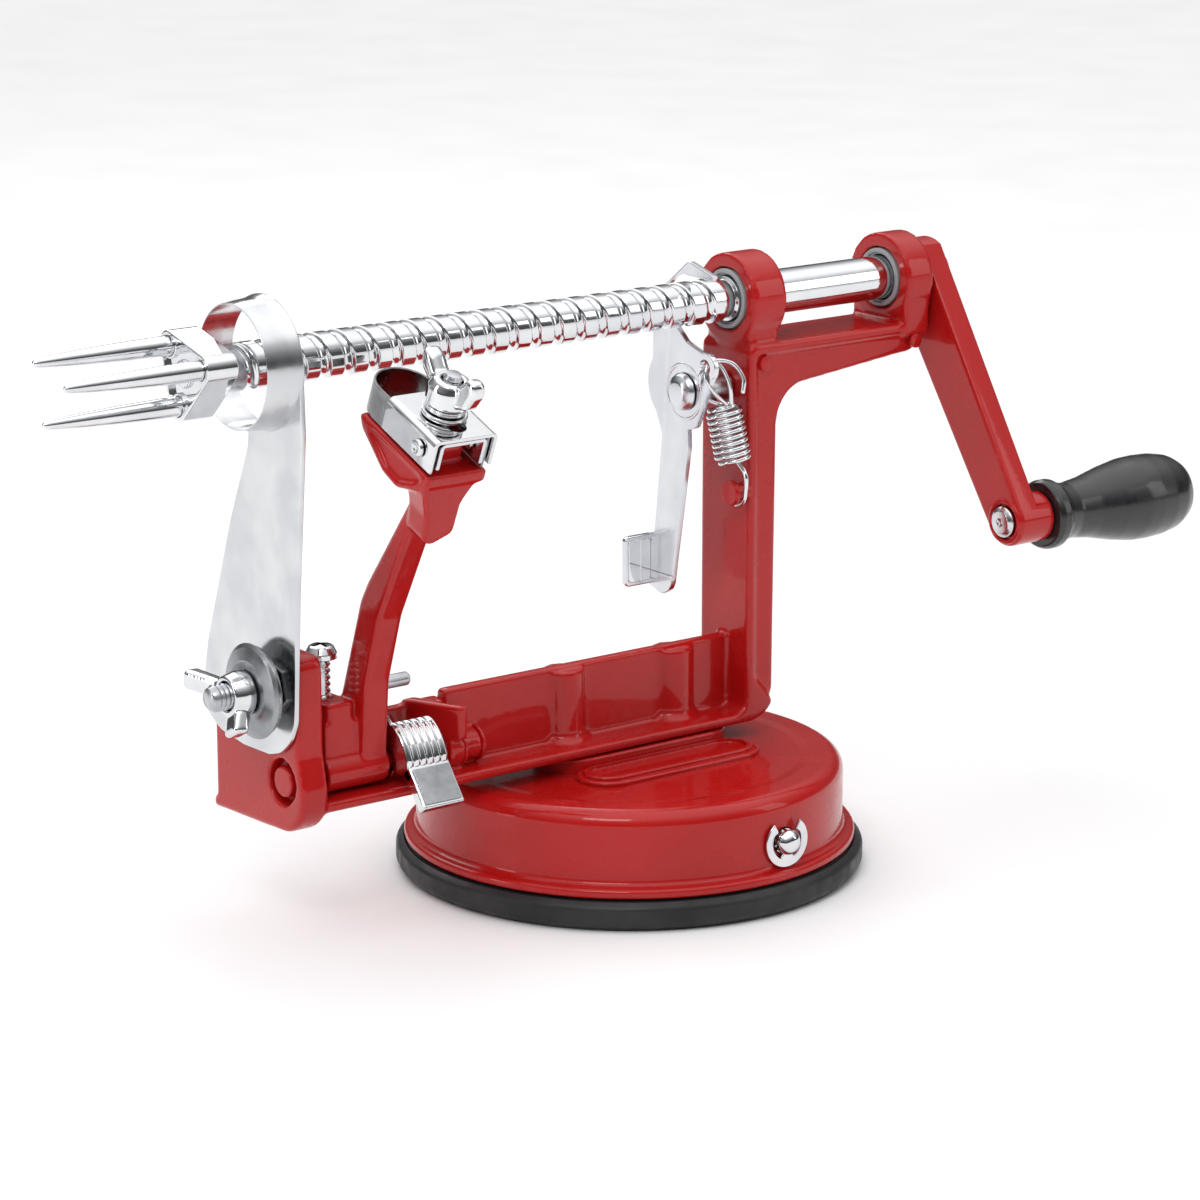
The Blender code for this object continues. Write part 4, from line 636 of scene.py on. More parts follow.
def build_suction_lever():
    low = 50.2
    outline = arc(*AXLE, 5.5, 90, 270, 24) + [(12, 9.6, 6), (20, 10.8, 8)]
    outline += arc(44, 14.1, 3.5, 270, 450, 14) + [(20, 18.6, 8), (12, 20.6, 6)]
    body = slab(soft(outline, 0.0, 6), "Y", low, low + 2.4, 0.7, 4)
    tab = slab(soft(box2(38.6, 47.3, low + 0.6, low + 9), 2.2), "Z", 10.7, 12.9, 0.7, 4)
    lever = weld("lock_lever", body, [tab], [])
    finish(lever, "axle", "chrome", CHROME, "suction_lever")


# ---------------------------------------------------------------- frame


def build_frame():
    w = BAR_HALF_WIDTH
    lip = [(-89.3, 28.9, 0), *arc(28, 36.9, 8, 270, 330, 12), (29.4, 39.3, 3), (29.4, 112.9, 1.5)]
    lip += [(74, 112.9, 0), (74, 115.5, 0), (27, 115.5, 2), (27, 34.3, 0)]
    lip += arc(24, 34.3, 3, 0, -90, 6)[1:] + [(-89.3, 31.3, 0)]
    base = slab(soft(lip, 0), "Y", -w, w, 0.8, 3)
    add = []
    body = arc(28, 36.9, 7.4, 275, 360, 14) + [(36, 125), (27.8, 125), (27.8, 29.9)]
    add.append(slab(body, "Y", -7.8, 7.8, 0.9, 4))
    add.append(slab(box2(-51.5, 29, -1.6, 1.6), "Z", 29.9, 48.4, 0.5))
    for place in FRAME_SCREWS:
        add.append(rod(4.6, "Z", place, 29.9, 47.6, 48))
        add.append(lathe([(0, 30.5), (6.0, 30.5), (6.0, 31.7), (4.4, 33.2), (0, 33.2)], "Z", place, 48))
    web = [(34, 100), *arc(45, 96.5, 9, 180, 105, 12), (73, 108.4)]
    web += arc(74, 112.4, 4, 280, 350, 8) + [(78, 114.5), (34, 114.5)]
    add.append(slab(web, "Y", -7.7, 7.7, 0.9, 4))
    add.append(rod(10.2, "X", SHAFT, 27.0, 36.4, 80))
    add.append(rod(10.2, "X", SHAFT, 72.0, 79.8, 80))
    add.append(slab(box2(-9.2, 9.2, 112.5, 125), "X", 72.2, 79.5, 0.3))
    block = arc(-1.0, 33.6, 9.0, 268, 165, 16) + [(-8.3, 42.2)]
    block += arc(-5.3, 60.5, 3, 180, 90, 8) + arc(17, 56.5, 7, 90, 0, 10)
    block += [(24, 27.1), (25.2, 26.1), (25.2, 23.9)]
    add.append(slab(block, "X", -94, -87.3, 0.9, 4))
    add.append(slab(box2(3.8, 6.4, 29.6, 45), "X", -88.3, -49.0, 0.3))
    add.append(rod(4.6, "X", HINGE, -53.5, -49.5, 60))
    add.append(rod(3.5, "X", HINGE, -50.5, -44.3, 48))
    add.append(slab(box2(-4.7, 5.9, 29.6, 35.7), "X", -53.2, -49.8, 0.2))
    gusset = [(-58.5, 5.4), (-52.5, -8.4), (-50.1, -8.4), (-55, 5.4)]
    add.append(slab(gusset, "Z", 38.7, 46.2, 0.3))
    add.append(slab(box2(-55, -49.5, -0.9, 5.4), "Z", 35.7, 45.6, 0.3))
    cut = [
        rod(7.0, "X", SHAFT, 26, 38, 64),
        rod(7.0, "X", SHAFT, 71, 81, 64),
        rod(2.3, "X", LEVER, 26, 35.5, 40),
        rod(5.0, "X", HINGE, -95, -90.7, 60),
        rod(2.5, "X", HINGE, -91, -86, 40),
        rod(2.5, "X", HINGE, -60, -43, 40),
        rod(BOLT_BORE, "X", BOLT, -95, -86, 48),
    ]
    cut += [rod(2.3, "Z", place, 27.9, 40.9, 32) for place in FRAME_SCREWS]
    obj = cast(weld("frame_casting", base, add, cut), 0.5, 7)
    finish(obj, "base", "red_enamel", RED, "frame", angle=None, weighted=False)
    stub = [(0, 22.4, 0), (2.6, 22.4, 0.2), (2.9, 23.1, 0.3), (2.9, 23.5, 0.2)]
    stub += [(1.9, 24.1, 0.5), (1.9, 28, 0), (0, 28, 0)]
    details = [
        lathe(soft(stub), "X", SPRING_STUB, 40),
        button(1.65, "Y", (31.5, 111.0), -8.0, -9.0, 0.25),
        button(1.65, "Y", (75.6, 111.2), -8.6, -9.35, 0.25),
        lathe([(4.7, -49.8), (4.7, -49.2), (4.3, -48.9), (3.5, -48.7), (3.5, -49.8)], "X", HINGE, 48),
        lathe(soft([(2.6, -44.6), (4.0, -44.6), (4.0, -43.8), (2.6, -43.8)], 0.25, 3), "X", HINGE, 48),
    ]
    finish(link("frame_details", together(*details)), "base", "red_enamel", RED, "frame")
    profile = [(0, -93.9, 0), (3.3, -93.9, 0.5), (3.5, -91.1, 0.2)]
    profile += [(2.2, -91.1, 0), (2.2, -43.7, 0.4), (0, -43.7, 0)]
    pin = soft(profile, 0.3)
    finish(link("hinge_pin", lathe(pin, "X", HINGE, 48)), "base", "red_enamel", RED, "arm_hinge_pin")


# ---------------------------------------------------------------- shaft


def groove(offset):
    """The groove's depth at a distance from its middle, with soft shoulders."""
    d = abs(offset)
    if d <= 0.8:
        return 0.8
    if d >= 1.45:
        return 0.0
    t = (1.45 - d) / 0.65
    return 0.8 * t * t * (3 - 2 * t)


def build_shaft():
    pitch, turns, columns = THREAD_PITCH, THREAD_TURNS, 60
    start = 15.9 - 120.0
    low, high = start - 1.6, start + turns * pitch + 1.6
    marks = [-1.6, -1.45, -1.3, -1.12, -0.96, -0.8, 0.0, 0.8, 0.96, 1.12, 1.3, 1.45, 1.6, 3.0]
    per = len(marks)
    rows = []
    for turn in range(-1, turns + 2):
        for mark in marks:
            rows.append((start + turn * pitch + mark, mark))
    mesh = bmesh.new()
    grid = []
    for x, mark in rows:
        line = []
        for j in range(columns):
            t = math.tau * j / columns
            real = x + pitch * j / columns
            place = min(max(real, low), high)
            done = (real - mark - start) / pitch
            fade = min(max(done * 3, 0), max((turns - done) * 3, 0), 1)
            edge = min(max((real - low) / 0.5, 0), max((high - real) / 0.5, 0), 1)
            r = SHAFT_RADIUS - groove(mark) * fade * edge
            line.append(mesh.verts.new((place, r * math.cos(t), SHAFT_Z + r * math.sin(t))))
        grid.append(line)
    last = len(grid) - 1
    for i in range(last):
        for j in range(columns):
            if j + 1 < columns:
                corners = [grid[i][j], grid[i + 1][j], grid[i + 1][j + 1], grid[i][j + 1]]
            else:
                corners = [grid[i][j], grid[i + 1][j], grid[min(i + 1 + per, last)][0]]
                corners += [grid[min(i + per, last)][0]]
            unique = []
            for corner in corners:
                if corner not in unique:
                    unique.append(corner)
            if len(unique) > 2 and not mesh.faces.get(unique):
                mesh.faces.new(unique)
    bmesh.ops.remove_doubles(mesh, verts=mesh.verts, dist=0.0005)
    loose = [v for v in mesh.verts if not v.link_faces]
    bmesh.ops.delete(mesh, geom=loose, context="VERTS")
    bmesh.ops.holes_fill(mesh, edges=[e for e in mesh.edges if e.is_boundary], sides=0)
    profile = [(0, -107.3, 0), (3.0, -107.3, 0), (5.0, -107.1, 0.3)]
    profile += [(5.0, low + 0.02, 0), (0, low + 0.02, 0)]
    nose = soft(profile)
    tail = [(0, high - 0.02, 0), (5.0, high - 0.02, 0), (5.0, high + 0.4, 0.15)]
    tail += [(4.3, high + 0.8, 0.15), (4.3, high + 2.7, 0.15), (5.0, high + 3.1, 0.15)]
    tail += [(5.0, 81.0, 0.3), (4.0, 81.0, 0), (4.0, 87.5, 0.3), (0, 87.5, 0)]
    body = lathe(soft(tail), "X", SHAFT, 96)
    obj = link("feed_shaft", together(mesh, lathe(nose, "X", SHAFT, 96), body))
    finish(obj, "shaft", "chrome", CHROME, "threaded_shaft", angle=50)


def prong_place(angle):
    turn = math.radians(angle)
    return (FORK_CIRCLE * math.cos(turn), SHAFT_Z + FORK_CIRCLE * math.sin(turn))


def build_fork():
    outline = []
    inner = []
    for angle in FORK_ANGLES:
        a, b = prong_place(angle)
        outline += arc(a, b, 3.2, angle - 60, angle + 60, 16)
        inner += arc(a, b, 2.3, angle - 60, angle + 60, 16)
    band = slab(outline, "X", -114.9, -107.4, 0.35, 3)
    hollow = slab(inner, "X", -116, -114.0, 0.0)
    cut = [hollow]
    for angle in FORK_ANGLES:
        cut.append(rod(2.25, "X", prong_place(angle), -116, -106, 32))
    hub = weld("fork_block", band, [], cut)
    finish(hub, "shaft", "chrome", CHROME, "fork_hub")
    rings = [button(3.0, "X", SHAFT, -108, -114.7, 0.5)]
    for angle in FORK_ANGLES:
        profile = [(2.15, -113.0), (2.75, -113.0), (2.75, -114.6), (2.15, -114.6)]
        rings.append(lathe(soft(profile, 0.2, 3), "X", prong_place(angle), 32))
    finish(link("fork_collars", together(*rings)), "shaft", "chrome", CHROME, "fork_hub")
    tip = -146.2
    for index, angle in enumerate(FORK_ANGLES):
        profile = [(0, tip), (0.35, tip + 0.04), (0.65, tip + 0.3), (0.85, tip + 0.8), (1.0, tip + 1.8)]
        profile += [(1.25, tip + 5), (1.55, tip + 10), (1.8, tip + 16), (1.98, tip + 22)]
        profile += [(2.08, tip + 27), (2.1, tip + 31), (2.1, -107.5), (0, -107.5)]
        obj = link(f"prong_{index + 1}", lathe(profile, "X", prong_place(angle), 40))
        finish(obj, "shaft", "chrome", CHROME, f"fork_prong_{index + 1}")


def crank_end():
    turn = math.radians(CRANK_ANGLE)
    return (-CRANK_LENGTH * math.sin(turn), SHAFT_Z - CRANK_LENGTH * math.cos(turn))


def build_crank():
    end = crank_end()
    along = 270 - CRANK_ANGLE
    outline = arc(0, SHAFT_Z, 8.0, along + 115, along + 245, 40)
    outline += arc(end[0], end[1], 5.75, along - 90, along + 90, 28)
    arm = slab(outline, "X", 81.3, 87.5, 1.0, 5)
    boss = button(5.75, "X", end, 86.5, 91.5, 0.6, 56)
    cut = [rod(4.3, "X", SHAFT, 80, 89, 56), rod(2.7, "X", end, 80, 93, 40)]
    cut.append(rod(4.1, "X", end, 80, 81.9, 48))
    obj = weld("crank_bar", arm, [boss], cut)
    finish(obj, "shaft", "red_enamel", RED, "crank_arm", angle=30)
    profile = [(4.1, 82.2), (4.1, 81.0), (4.6, 80.75), (5.1, 81.0), (5.3, 81.6), (5.3, 82.2)]
    ring = lathe(soft(profile, 0.2, 3), "X", end, 56)
    finish(link("crank_ring", ring), "shaft", "red_enamel", RED, "crank_arm")
    profile = [(0, 79.7, 0), (2.6, 79.8, 0.5), (3.6, 80.5, 0.5), (3.6, 81.4, 0.1)]
    profile += [(2.4, 81.4, 0), (2.4, 129.3, 0.3), (0, 129.3, 0)]
    head = soft(profile, 0.3)
    spindle = lathe(head, "X", end, 48)
    dimple = lathe([(0, 78.5), (1.1, 78.5), (1.1, 79.9), (0.8, 80.15), (0, 80.25)], "X", end, 32)
    obj = weld("spindle", spindle, [], [dimple])
    finish(obj, "shaft", "zinc_steel", STEEL, "knob_spindle")
    profile = [(0, 79.5, 0), (2.2, 79.5, 0), (2.2, 87.8, 0), (5.0, 87.8, 0.3)]
    profile += [(5.0, 88.8, 0.5), (3.8, 90.4, 0.9), (0, 90.4, 0)]
    screw = soft(profile)
    obj = weld("end_screw", lathe(screw, "X", SHAFT, 48), [], cross("X", SHAFT, 0.55, 3, 89.4, 92))
    finish(obj, "shaft", "zinc_steel", ZINC, "crank_screw")
    low = 91.8
    profile = [(2.7, low, 0), (7.4, low, 0.8), (8.0, low + 1.2, 0.8), (8.0, low + 3.1, 0.9)]
    profile += [(6.9, low + 4.9, 1.2), (6.4, low + 8.2, 5), (7.1, low + 14.0, 14), (8.6, low + 20.8, 16)]
    profile += [(9.65, low + 27.0, 16), (9.8, low + 31, 16), (9.6, low + 35.5, 10), (8.9, low + 39.6, 6)]
    profile += [(7.2, low + 42.9, 4), (4.2, low + 44.35, 4), (0, low + 44.5, 0), (0, low + 38, 0)]
    profile += [(2.7, low + 38, 0)]
    obj = link("handle_knob", lathe(soft(profile, 1, 10), "X", end, 96))
    finish(obj, "knob", "black_gloss", BLACK, "crank_knob")


def build_bushes():
    parts = []
    for low, high in ((26.6, 36.8), (71.6, 80.2)):
        profile = [(5.3, low + 0.7, 0.1), (5.75, low + 0.7, 0.1), (5.75, low, 0.15)]
        profile += [(6.7, low, 0.3), (6.7, high, 0.3), (5.3, high, 0.3)]
        parts.append((low, lathe(soft(profile, 0.2, 4), "X", SHAFT, 80)))
    finish(link("bush_near", parts[0][1]), "bushes", "grey_nylon", NYLON, "front_bush")
    finish(link("bush_far", parts[1][1]), "bushes", "grey_nylon", NYLON, "rear_bush")


# ---------------------------------------------------------------- release lever


def build_lever():
    z, s = LEVER[1], SHAFT_Z
    outline = [(-10.1, s + 7.4, 0.4), (-9.6, s + 6.3, 0.4)]
    outline += arc(0, s, 6.6, 95, 30, 12) + arc(0, s, 6.0, 8, -48, 12)
    outline += [(-0.6, s - 8.3, 1.2)] + arc(*SPRING_HOLE, 3.4, 70, 225, 18)
    outline += arc(0, z, 8.6, 240, 262, 4)
    outline += [(-1.4, z - 12.5, 4), (3.4, z - 40, 3), (4.0, z - 44, 2)]
    outline += arc(8.2, z - 43.5, 4.2, 200, 290, 10)
    outline += [(13.0, z - 46.2, 0.8), (13.0, z - 34.6, 0.8), (10.6, z - 34.2, 0.8), (7.9, z - 11, 4)]
    outline += arc(4.2, z + 0.6, 8.8, -48, 36, 14)
    outline += [(11.2, s - 6, 2), (10.0, s, 3), (6.6, s + 3.8, 2), (-1.3, s + 9.8, 2)]
    plate = slab(soft(outline, 0), "X", 15.2, 16.6, 0.22, 3)
    tooth = [(4.45, s - 0.8), (7.5, s - 2.2), (7.5, s + 2.2), (4.45, s + 0.8)]
    add = [slab(soft(tooth, 0.25, 3), "X", 15.4, 16.4, 0.1)]
    tab = soft(box2(8.2, 16.6, z - 46.2, z - 34.6), 1.2)
    add.append(slab(tab, "Y", 12.0, 13.4, 0.3, 3))
    cut = [rod(2.3, "X", LEVER, 14, 18, 40)]
    cut += [lathe([(1.9, 14.6), (1.9, 17.2), (0, 17.2), (0, 14.6)], "X", SPRING_HOLE, 36)]
    obj = weld("release_plate", plate, add, cut)
    finish(obj, "lever", "chrome", SATIN, "release_lever", angle=30)
    ring = lathe(soft([(5.5, 15.4), (5.9, 15.05), (6.3, 15.05), (6.7, 15.4)], 0.15, 3), "X", LEVER, 64)
    profile = [(3.6, z - 43.4), (11.9, z - 43.4), (11.9, z - 42.9), (3.6, z - 42.9)]
    rib = slab(soft(profile, 0.2, 3), "X", 14.95, 15.3, 0.12)
    panel = slab(soft(box2(9.0, 15.2, z - 45.2, z - 35.6), 0.8), "Y", 11.75, 12.1, 0.12)
    seam = slab(soft(box2(12.2, 12.7, z - 45.4, z - 35.4), 0.2, 3), "Y", 11.55, 12.0, 0.1)
    finish(link("lever_ring", ring), "lever", "chrome", SATIN, "release_lever")
    finish(link("lever_marks", together(rib, panel, seam)), "lever", "chrome", CHROME, "release_lever")
    head = [(0, 12.7, 0), (2.4, 12.85, 1.5), (3.8, 13.7, 1.0), (4.25, 14.6, 0.3)]
    head += [(4.25, 14.9, 0.1), (2, 14.9, 0), (2, 35, 0.3), (0, 35, 0)]
    obj = link("pivot_rivet", lathe(soft(head, 0.3, 6), "X", LEVER, 56))
    finish(obj, "base", "polished_steel", SATIN, "lever_rivet")
    obj = link("pivot_spacer", washer(3.3, 2.3, "X", LEVER, 16.9, 26.7, 0.25))
    finish(obj, "base", "zinc_steel", ZINC, "lever_spacer")


def build_spring():
    top = Vector((21.2, -6.4, 102.6))
    bottom = Vector((22.7, -8.6, 89.6))
    along = (bottom - top).normalized()
    side = (Vector((1, 0, 0)) - along * along.x).normalized()
    other = along.cross(side)
    coil = []
    total = 10 * 28
    for i in range(total + 1):
        t = math.tau * i / 28
        grow = min(1.0, 0.72 + 0.28 * min(i, total - i) / 28)
        coil.append(top.lerp(bottom, i / total) + (side * math.cos(t) + other * math.sin(t)) * 3.7 * grow)
    ear = Vector((15.9, *SPRING_HOLE))
    hook = [(6.6, -4.4, -5.6), (6.9, -4.2, -2.6), (5.4, -2.4, 0.6), (2.2, -0.4, 1.4), (0, 0, 0.3)]
    hook += [(-1.4, 0.8, -2.2), (-0.6, 1.6, -5.0), (1.6, 1.2, -7.6), (3.6, 0.2, -8.6)]
    hook = [ear + Vector(p) for p in hook]
    stub = Vector((24.8, *SPRING_STUB))
    lower = [stub + Vector((0.0, -3.1, 4.4))]
    for angle in (180, 210, 240, 270, 300, 330):
        t = math.radians(angle)
        lower.append(stub + Vector((0, 2.9 * math.cos(t), 2.9 * math.sin(t))))
    path = path_through(hook + [coil[0]], 8)[:-4] + coil[4:-4] + path_through([coil[-4], *lower], 8)
    loop = [(3.4, -2.6, -8.2), (1.0, -2.2, -6.0), (-0.9, -0.9, -2.4), (-0.2, -0.2, 0.2)]
    loop += [(1.9, -0.2, 1.2), (3.6, -1.4, -1.0), (4.6, -2.4, -4.6), (4.8, -2.6, -8.2)]
    second = path_through([ear + Vector(p) for p in loop], 8)
    spring = together(wire(path, 0.5, 12), wire(second, 0.5, 12))
    finish(link("return_spring", spring), "base", "chrome", CHROME, "lever_spring", angle=60)


# ---------------------------------------------------------------- peeler arm


def build_arm():
    side = [(1.1, 35.7, 0), (3.1, 49.3, 6), (-5.2, 73.0, 8), (-8.0, 77.5, 6), (-25.3, 99.8, 6)]
    side += [(-27.0, 103.0, 1), (-33.5, 102.0, 1), (-30.3, 97.5, 5), (-25.0, 94.0, 6)]
    side += [(-12.0, 70.0, 10), (-6.9, 54.5, 10), (-5.5, 35.7, 0)]
    base = slab(soft(side, 0, 8), "X", -76.0, -69.4, 0.9, 4)
    head = [(0, -8.8, 0.6), (27, -8.8, 0.8), (24.5, -12, 1.5), (15, -16.5, 4)]
    head += [(9.5, -17, 3), (3, -13.8, 3), (0, -11.5, 1)]
    add = [rod(4.1, "X", HINGE, -84.6, -69.2, 60), in_head(slab(soft(head), "X", -7.55, 7.55, 0.8, 4))]
    add.append(in_head(slab(box2(4.5, 13.5, -9.6, -2.5), "X", -3.6, 3.6, 0.3)))
    near = [(-7.5, -8.8, 0.8), (7.5, -8.8, 0.8), (7.3, -11.6, 0.8), (5.2, -12.6, 1.5), (3.2, -16.5, 3)]
    near += [(3.0, -24, 2), (-3.6, -27, 2), (-5.0, -19.0, 3), (-7.3, -12.5, 2)]
    add.append(in_head(slab(soft(near, 0.5), "Y", 0.4, 7.5, 0.5, 3)))
    add.append(slab(box2(-4.3, -1.3, 35.7, 47), "X", -84.4, -75, 0.3))
    add.append(slab(soft(box2(-83.8, -76.6, -4.3, 6.7), 1.5), "Z", 46.8, 51.0, 0.6))
    panel = [(2.2, -10.0, 0.5), (23.0, -10.0, 0.5), (14.2, -14.9, 2), (9.5, -15.4, 2), (4.2, -12.6, 1)]
    cut = [in_head(slab(soft(panel), "X", -9, -6.8, 0.0)), in_head(slab(soft(panel), "X", 6.8, 9, 0.0))]
    cut.append(rod(2.5, "X", HINGE, -86, -68, 40))
    cut.append(rod(2.2, "Z", STOP, 45, 52, 32))
    cut.append(in_head(rod(CLAMP_BORE, "Z", CLAMP, -7.5, 1, 32)))
    cut.append(rod(1.8, "X", ARM_PIN, -72.4, -68, 32))
    obj = cast(weld("arm_casting", base, add, cut), 0.4, 7)
    finish(obj, "arm", "red_enamel", RED, "peeler_arm", angle=None, weighted=False)
    profile = [(0, -72.1, 0), (1.5, -72.1, 0), (1.5, -63.5, 0.2)]
    profile += [(1.5, -62.9, 0.5), (0.9, -62.4, 0.3), (0, -62.4, 0)]
    pin = soft(profile, 0.3)
    finish(link("arm_pin", lathe(pin, "X", ARM_PIN, 40)), "arm", "zinc_steel", ZINC, "latch_pin")


def threads(radius, root, low, high, pitch):
    """A zigzag profile, for a screw whose turns are too fine to follow."""
    points = []
    count = max(1, int(round((high - low) / pitch)))
    step = (high - low) / count
    for i in range(count):
        x = low + i * step
        points += [(root, x), (radius, x + step * 0.42), (radius, x + step * 0.58)]
    return points + [(root, high)]


def build_stop_screw():
    profile = [(0, 45.3), (1.4, 45.3)] + threads(2.0, 1.45, 45.7, 58.8, 1.45) + [(1.6, 59.2)]
    head = [(1.6, 59.2, 0), (3.5, 59.35, 0.3), (3.5, 60.6, 0.6), (2.6, 62.2, 1.0), (0, 62.5, 0)]
    profile += soft(head, 0.3, 5)
    obj = weld("adjusting_screw", lathe(profile, "Z", STOP, 48), [], cross("Z", STOP, 0.45, 2.2, 61.0, 63.5))
    finish(obj, "stop", "chrome", CHROME, "stop_screw", angle=50)


def build_torsion():
    path = []
    per_turn = 40
    count = int(1.25 * per_turn)
    for i in range(count + 1):
        t = math.tau * i / per_turn
        x = -86.5 + 1.1 * i / count
        path.append(Vector((x, HINGE[0] + 3.4 * math.cos(t), HINGE[1] + 3.4 * math.sin(t))))
    obj = link("hinge_spring", wire(path, 0.45, 10))
    finish(obj, "base", "zinc_steel", ZINC, "arm_torsion_spring", angle=60)


def build_latch():
    x0, x1 = -68.4, -57.8
    y, z = HINGE
    mesh = bmesh.new()
    steps, across, ribs = 40, 70, 6
    outer, inner = [], []
    for i in range(steps + 1):
        angle = math.radians(108 + 70 * i / steps)
        fade = min(1.0, min(i, steps - i) / 5)
        outer_line, inner_line = [], []
        for j in range(across + 1):
            s = j / across
            x = x0 + (x1 - x0) * s
            edge = min(1.0, min(s, 1 - s) * 18)
            r = 9.45 + 0.42 * (0.5 - 0.5 * math.cos(math.tau * ribs * s)) * fade - 0.25 * (1 - edge)
            outer_line.append(mesh.verts.new((x, y + r * math.cos(angle), z + r * math.sin(angle))))
            inner_line.append(mesh.verts.new((x, y + 8.9 * math.cos(angle), z + 8.9 * math.sin(angle))))
        outer.append(outer_line)
        inner.append(inner_line)
    for i in range(steps):
        for j in range(across):
            mesh.faces.new((outer[i][j], outer[i][j + 1], outer[i + 1][j + 1], outer[i + 1][j]))
            mesh.faces.new((inner[i][j], inner[i + 1][j], inner[i + 1][j + 1], inner[i][j + 1]))
        mesh.faces.new((outer[i][0], outer[i + 1][0], inner[i + 1][0], inner[i][0]))
        mesh.faces.new((outer[i][-1], inner[i][-1], inner[i + 1][-1], outer[i + 1][-1]))
    for j in range(across):
        mesh.faces.new((outer[0][j], inner[0][j], inner[0][j + 1], outer[0][j + 1]))
        mesh.faces.new((outer[-1][j], outer[-1][j + 1], inner[-1][j + 1], inner[-1][j]))
    thumb = [(-11.7, 36.4, 0.3), (-17.6, 28.7, 0.5), (-15.6, 27.2, 0.5), (-9.6, 34.9, 0.3)]
    plate = slab(soft(thumb, 0.3, 4), "X", x0, x1, 0.4, 3)
    face = [(-12.3, 35.95, 0.1), (-17.25, 29.45, 0.1), (-17.0, 29.25, 0.1), (-12.05, 35.75, 0.1)]
    face = [(a - 0.16, b + 0.12, c) for a, b, c in face]
    obj = link("latch_face", slab(soft(face, 0.1, 2), "X", x0 + 0.7, x1 - 0.7, 0.1))
    finish(obj, "latch", "chrome", DULL, "arm_latch")
    below = arc(y, z, 4.0, 200, 400, 24)
    back = arc(y, z, 9.3, 108, 178, 20) + [(-13.2, 33.0, 0.8)]
    ear = slab(soft(below + [(1.2, 44.2, 0.5), (-2.6, 46.2, 0.6)] + back, 0), "X", x0, x0 + 0.9, 0.2, 3)
    second = slab(soft(below + back, 0), "X", x1 - 0.9, x1, 0.2, 3)
    hole = rod(2.5, "X", HINGE, x0 - 1, x1 + 1, 40)
    ears = weld("latch_ears", ear, [second], [hole])
    finish(ears, "latch", "chrome", CHROME, "arm_latch", angle=30)
    finish(link("latch_back", together(mesh, plate)), "latch", "chrome", CHROME, "arm_latch", angle=50)


# ---------------------------------------------------------------- peeler head


def channel_shape(half, top, start, end, depth, wall, bend):
    outline = [(-half, -depth, 0.3), (-half, top, bend), (half, top, bend), (half, -depth, 0.3)]
    i = half - wall
    inner = max(bend - wall, 0.3)
    outline += [(i, -depth, 0.3), (i, top - wall, inner), (-i, top - wall, inner), (-i, -depth, 0.3)]
    return in_head(slab(soft(outline, 0.2, 6), "Y", start, end, 0.15, 3))


def slot_cut(low, high):
    outline = [(b, a) for a, b in pill(2.2, 14.3, -2.3, 2.3, 14)]
    return in_head(slab(outline, "Z", low, high, 0))


def build_head():
    def hole(side, radius):
        low, high = sorted((side * 4.0, side * 9.0))
        return in_head(rod(radius, "X", RIVET, low, high, 32))

    outer = channel_shape(7.85, 0.0, 0.0, 17.8, 7.5, 0.9, 1.5)
    obj = weld("head_bracket", outer, [], [slot_cut(-2, 1), hole(-1, 1.3), hole(1, 1.3)])
    finish(obj, "blade_head", "chrome", CHROME, "blade_bracket", angle=30)
    core = channel_shape(5.75, -1.2, 0.4, 16.3, 7.3, 0.9, 1.2)
    obj = weld("head_carrier", core, [], [slot_cut(-3, 0), hole(-1, 1.3), hole(1, 1.3)])
    finish(obj, "blade_head", "chrome", SATIN, "blade_carrier", angle=30)
    half = 6.65
    bend = 29.6 - half
    strip = [(half, 1.0)] + arc(0, bend, half, 0, 180, 48) + [(-half, 1.0)]
    i = half - 0.6
    strip += [(-i, 1.0)] + arc(0, bend, i, 180, 0, 48) + [(i, 1.0)]
    shape = in_head(slab(strip, "Z", -8.6, -1.2, 0.22, 3))
    obj = weld("blade_strip", shape, [], [hole(-1, 1.3), hole(1, 1.3)])
    finish(obj, "blade_head", "dark_steel", DARK, "peeler_blade", angle=30)
    for index, side in enumerate((-1, 1)):
        rivet = [(0, 3.7, 0), (1.7, 3.7, 0.2), (1.7, 4.4, 0.1), (1.0, 4.4, 0), (1.0, 8.15, 0)]
        rivet += [(1.95, 8.15, 0.1), (1.8, 8.8, 0.3), (1.0, 8.95, 0.3), (0.5, 8.5, 0.2), (0, 8.45, 0)]
        rivet = [(r, side * x, e) for r, x, e in rivet]
        mesh = in_head(lathe(soft(rivet, 0.2, 4), "X", RIVET, 40))
        obj = link(f"head_rivet_{index + 1}", mesh)
        finish(obj, "blade_head", "polished_steel", STEEL, f"blade_rivet_{index + 1}")


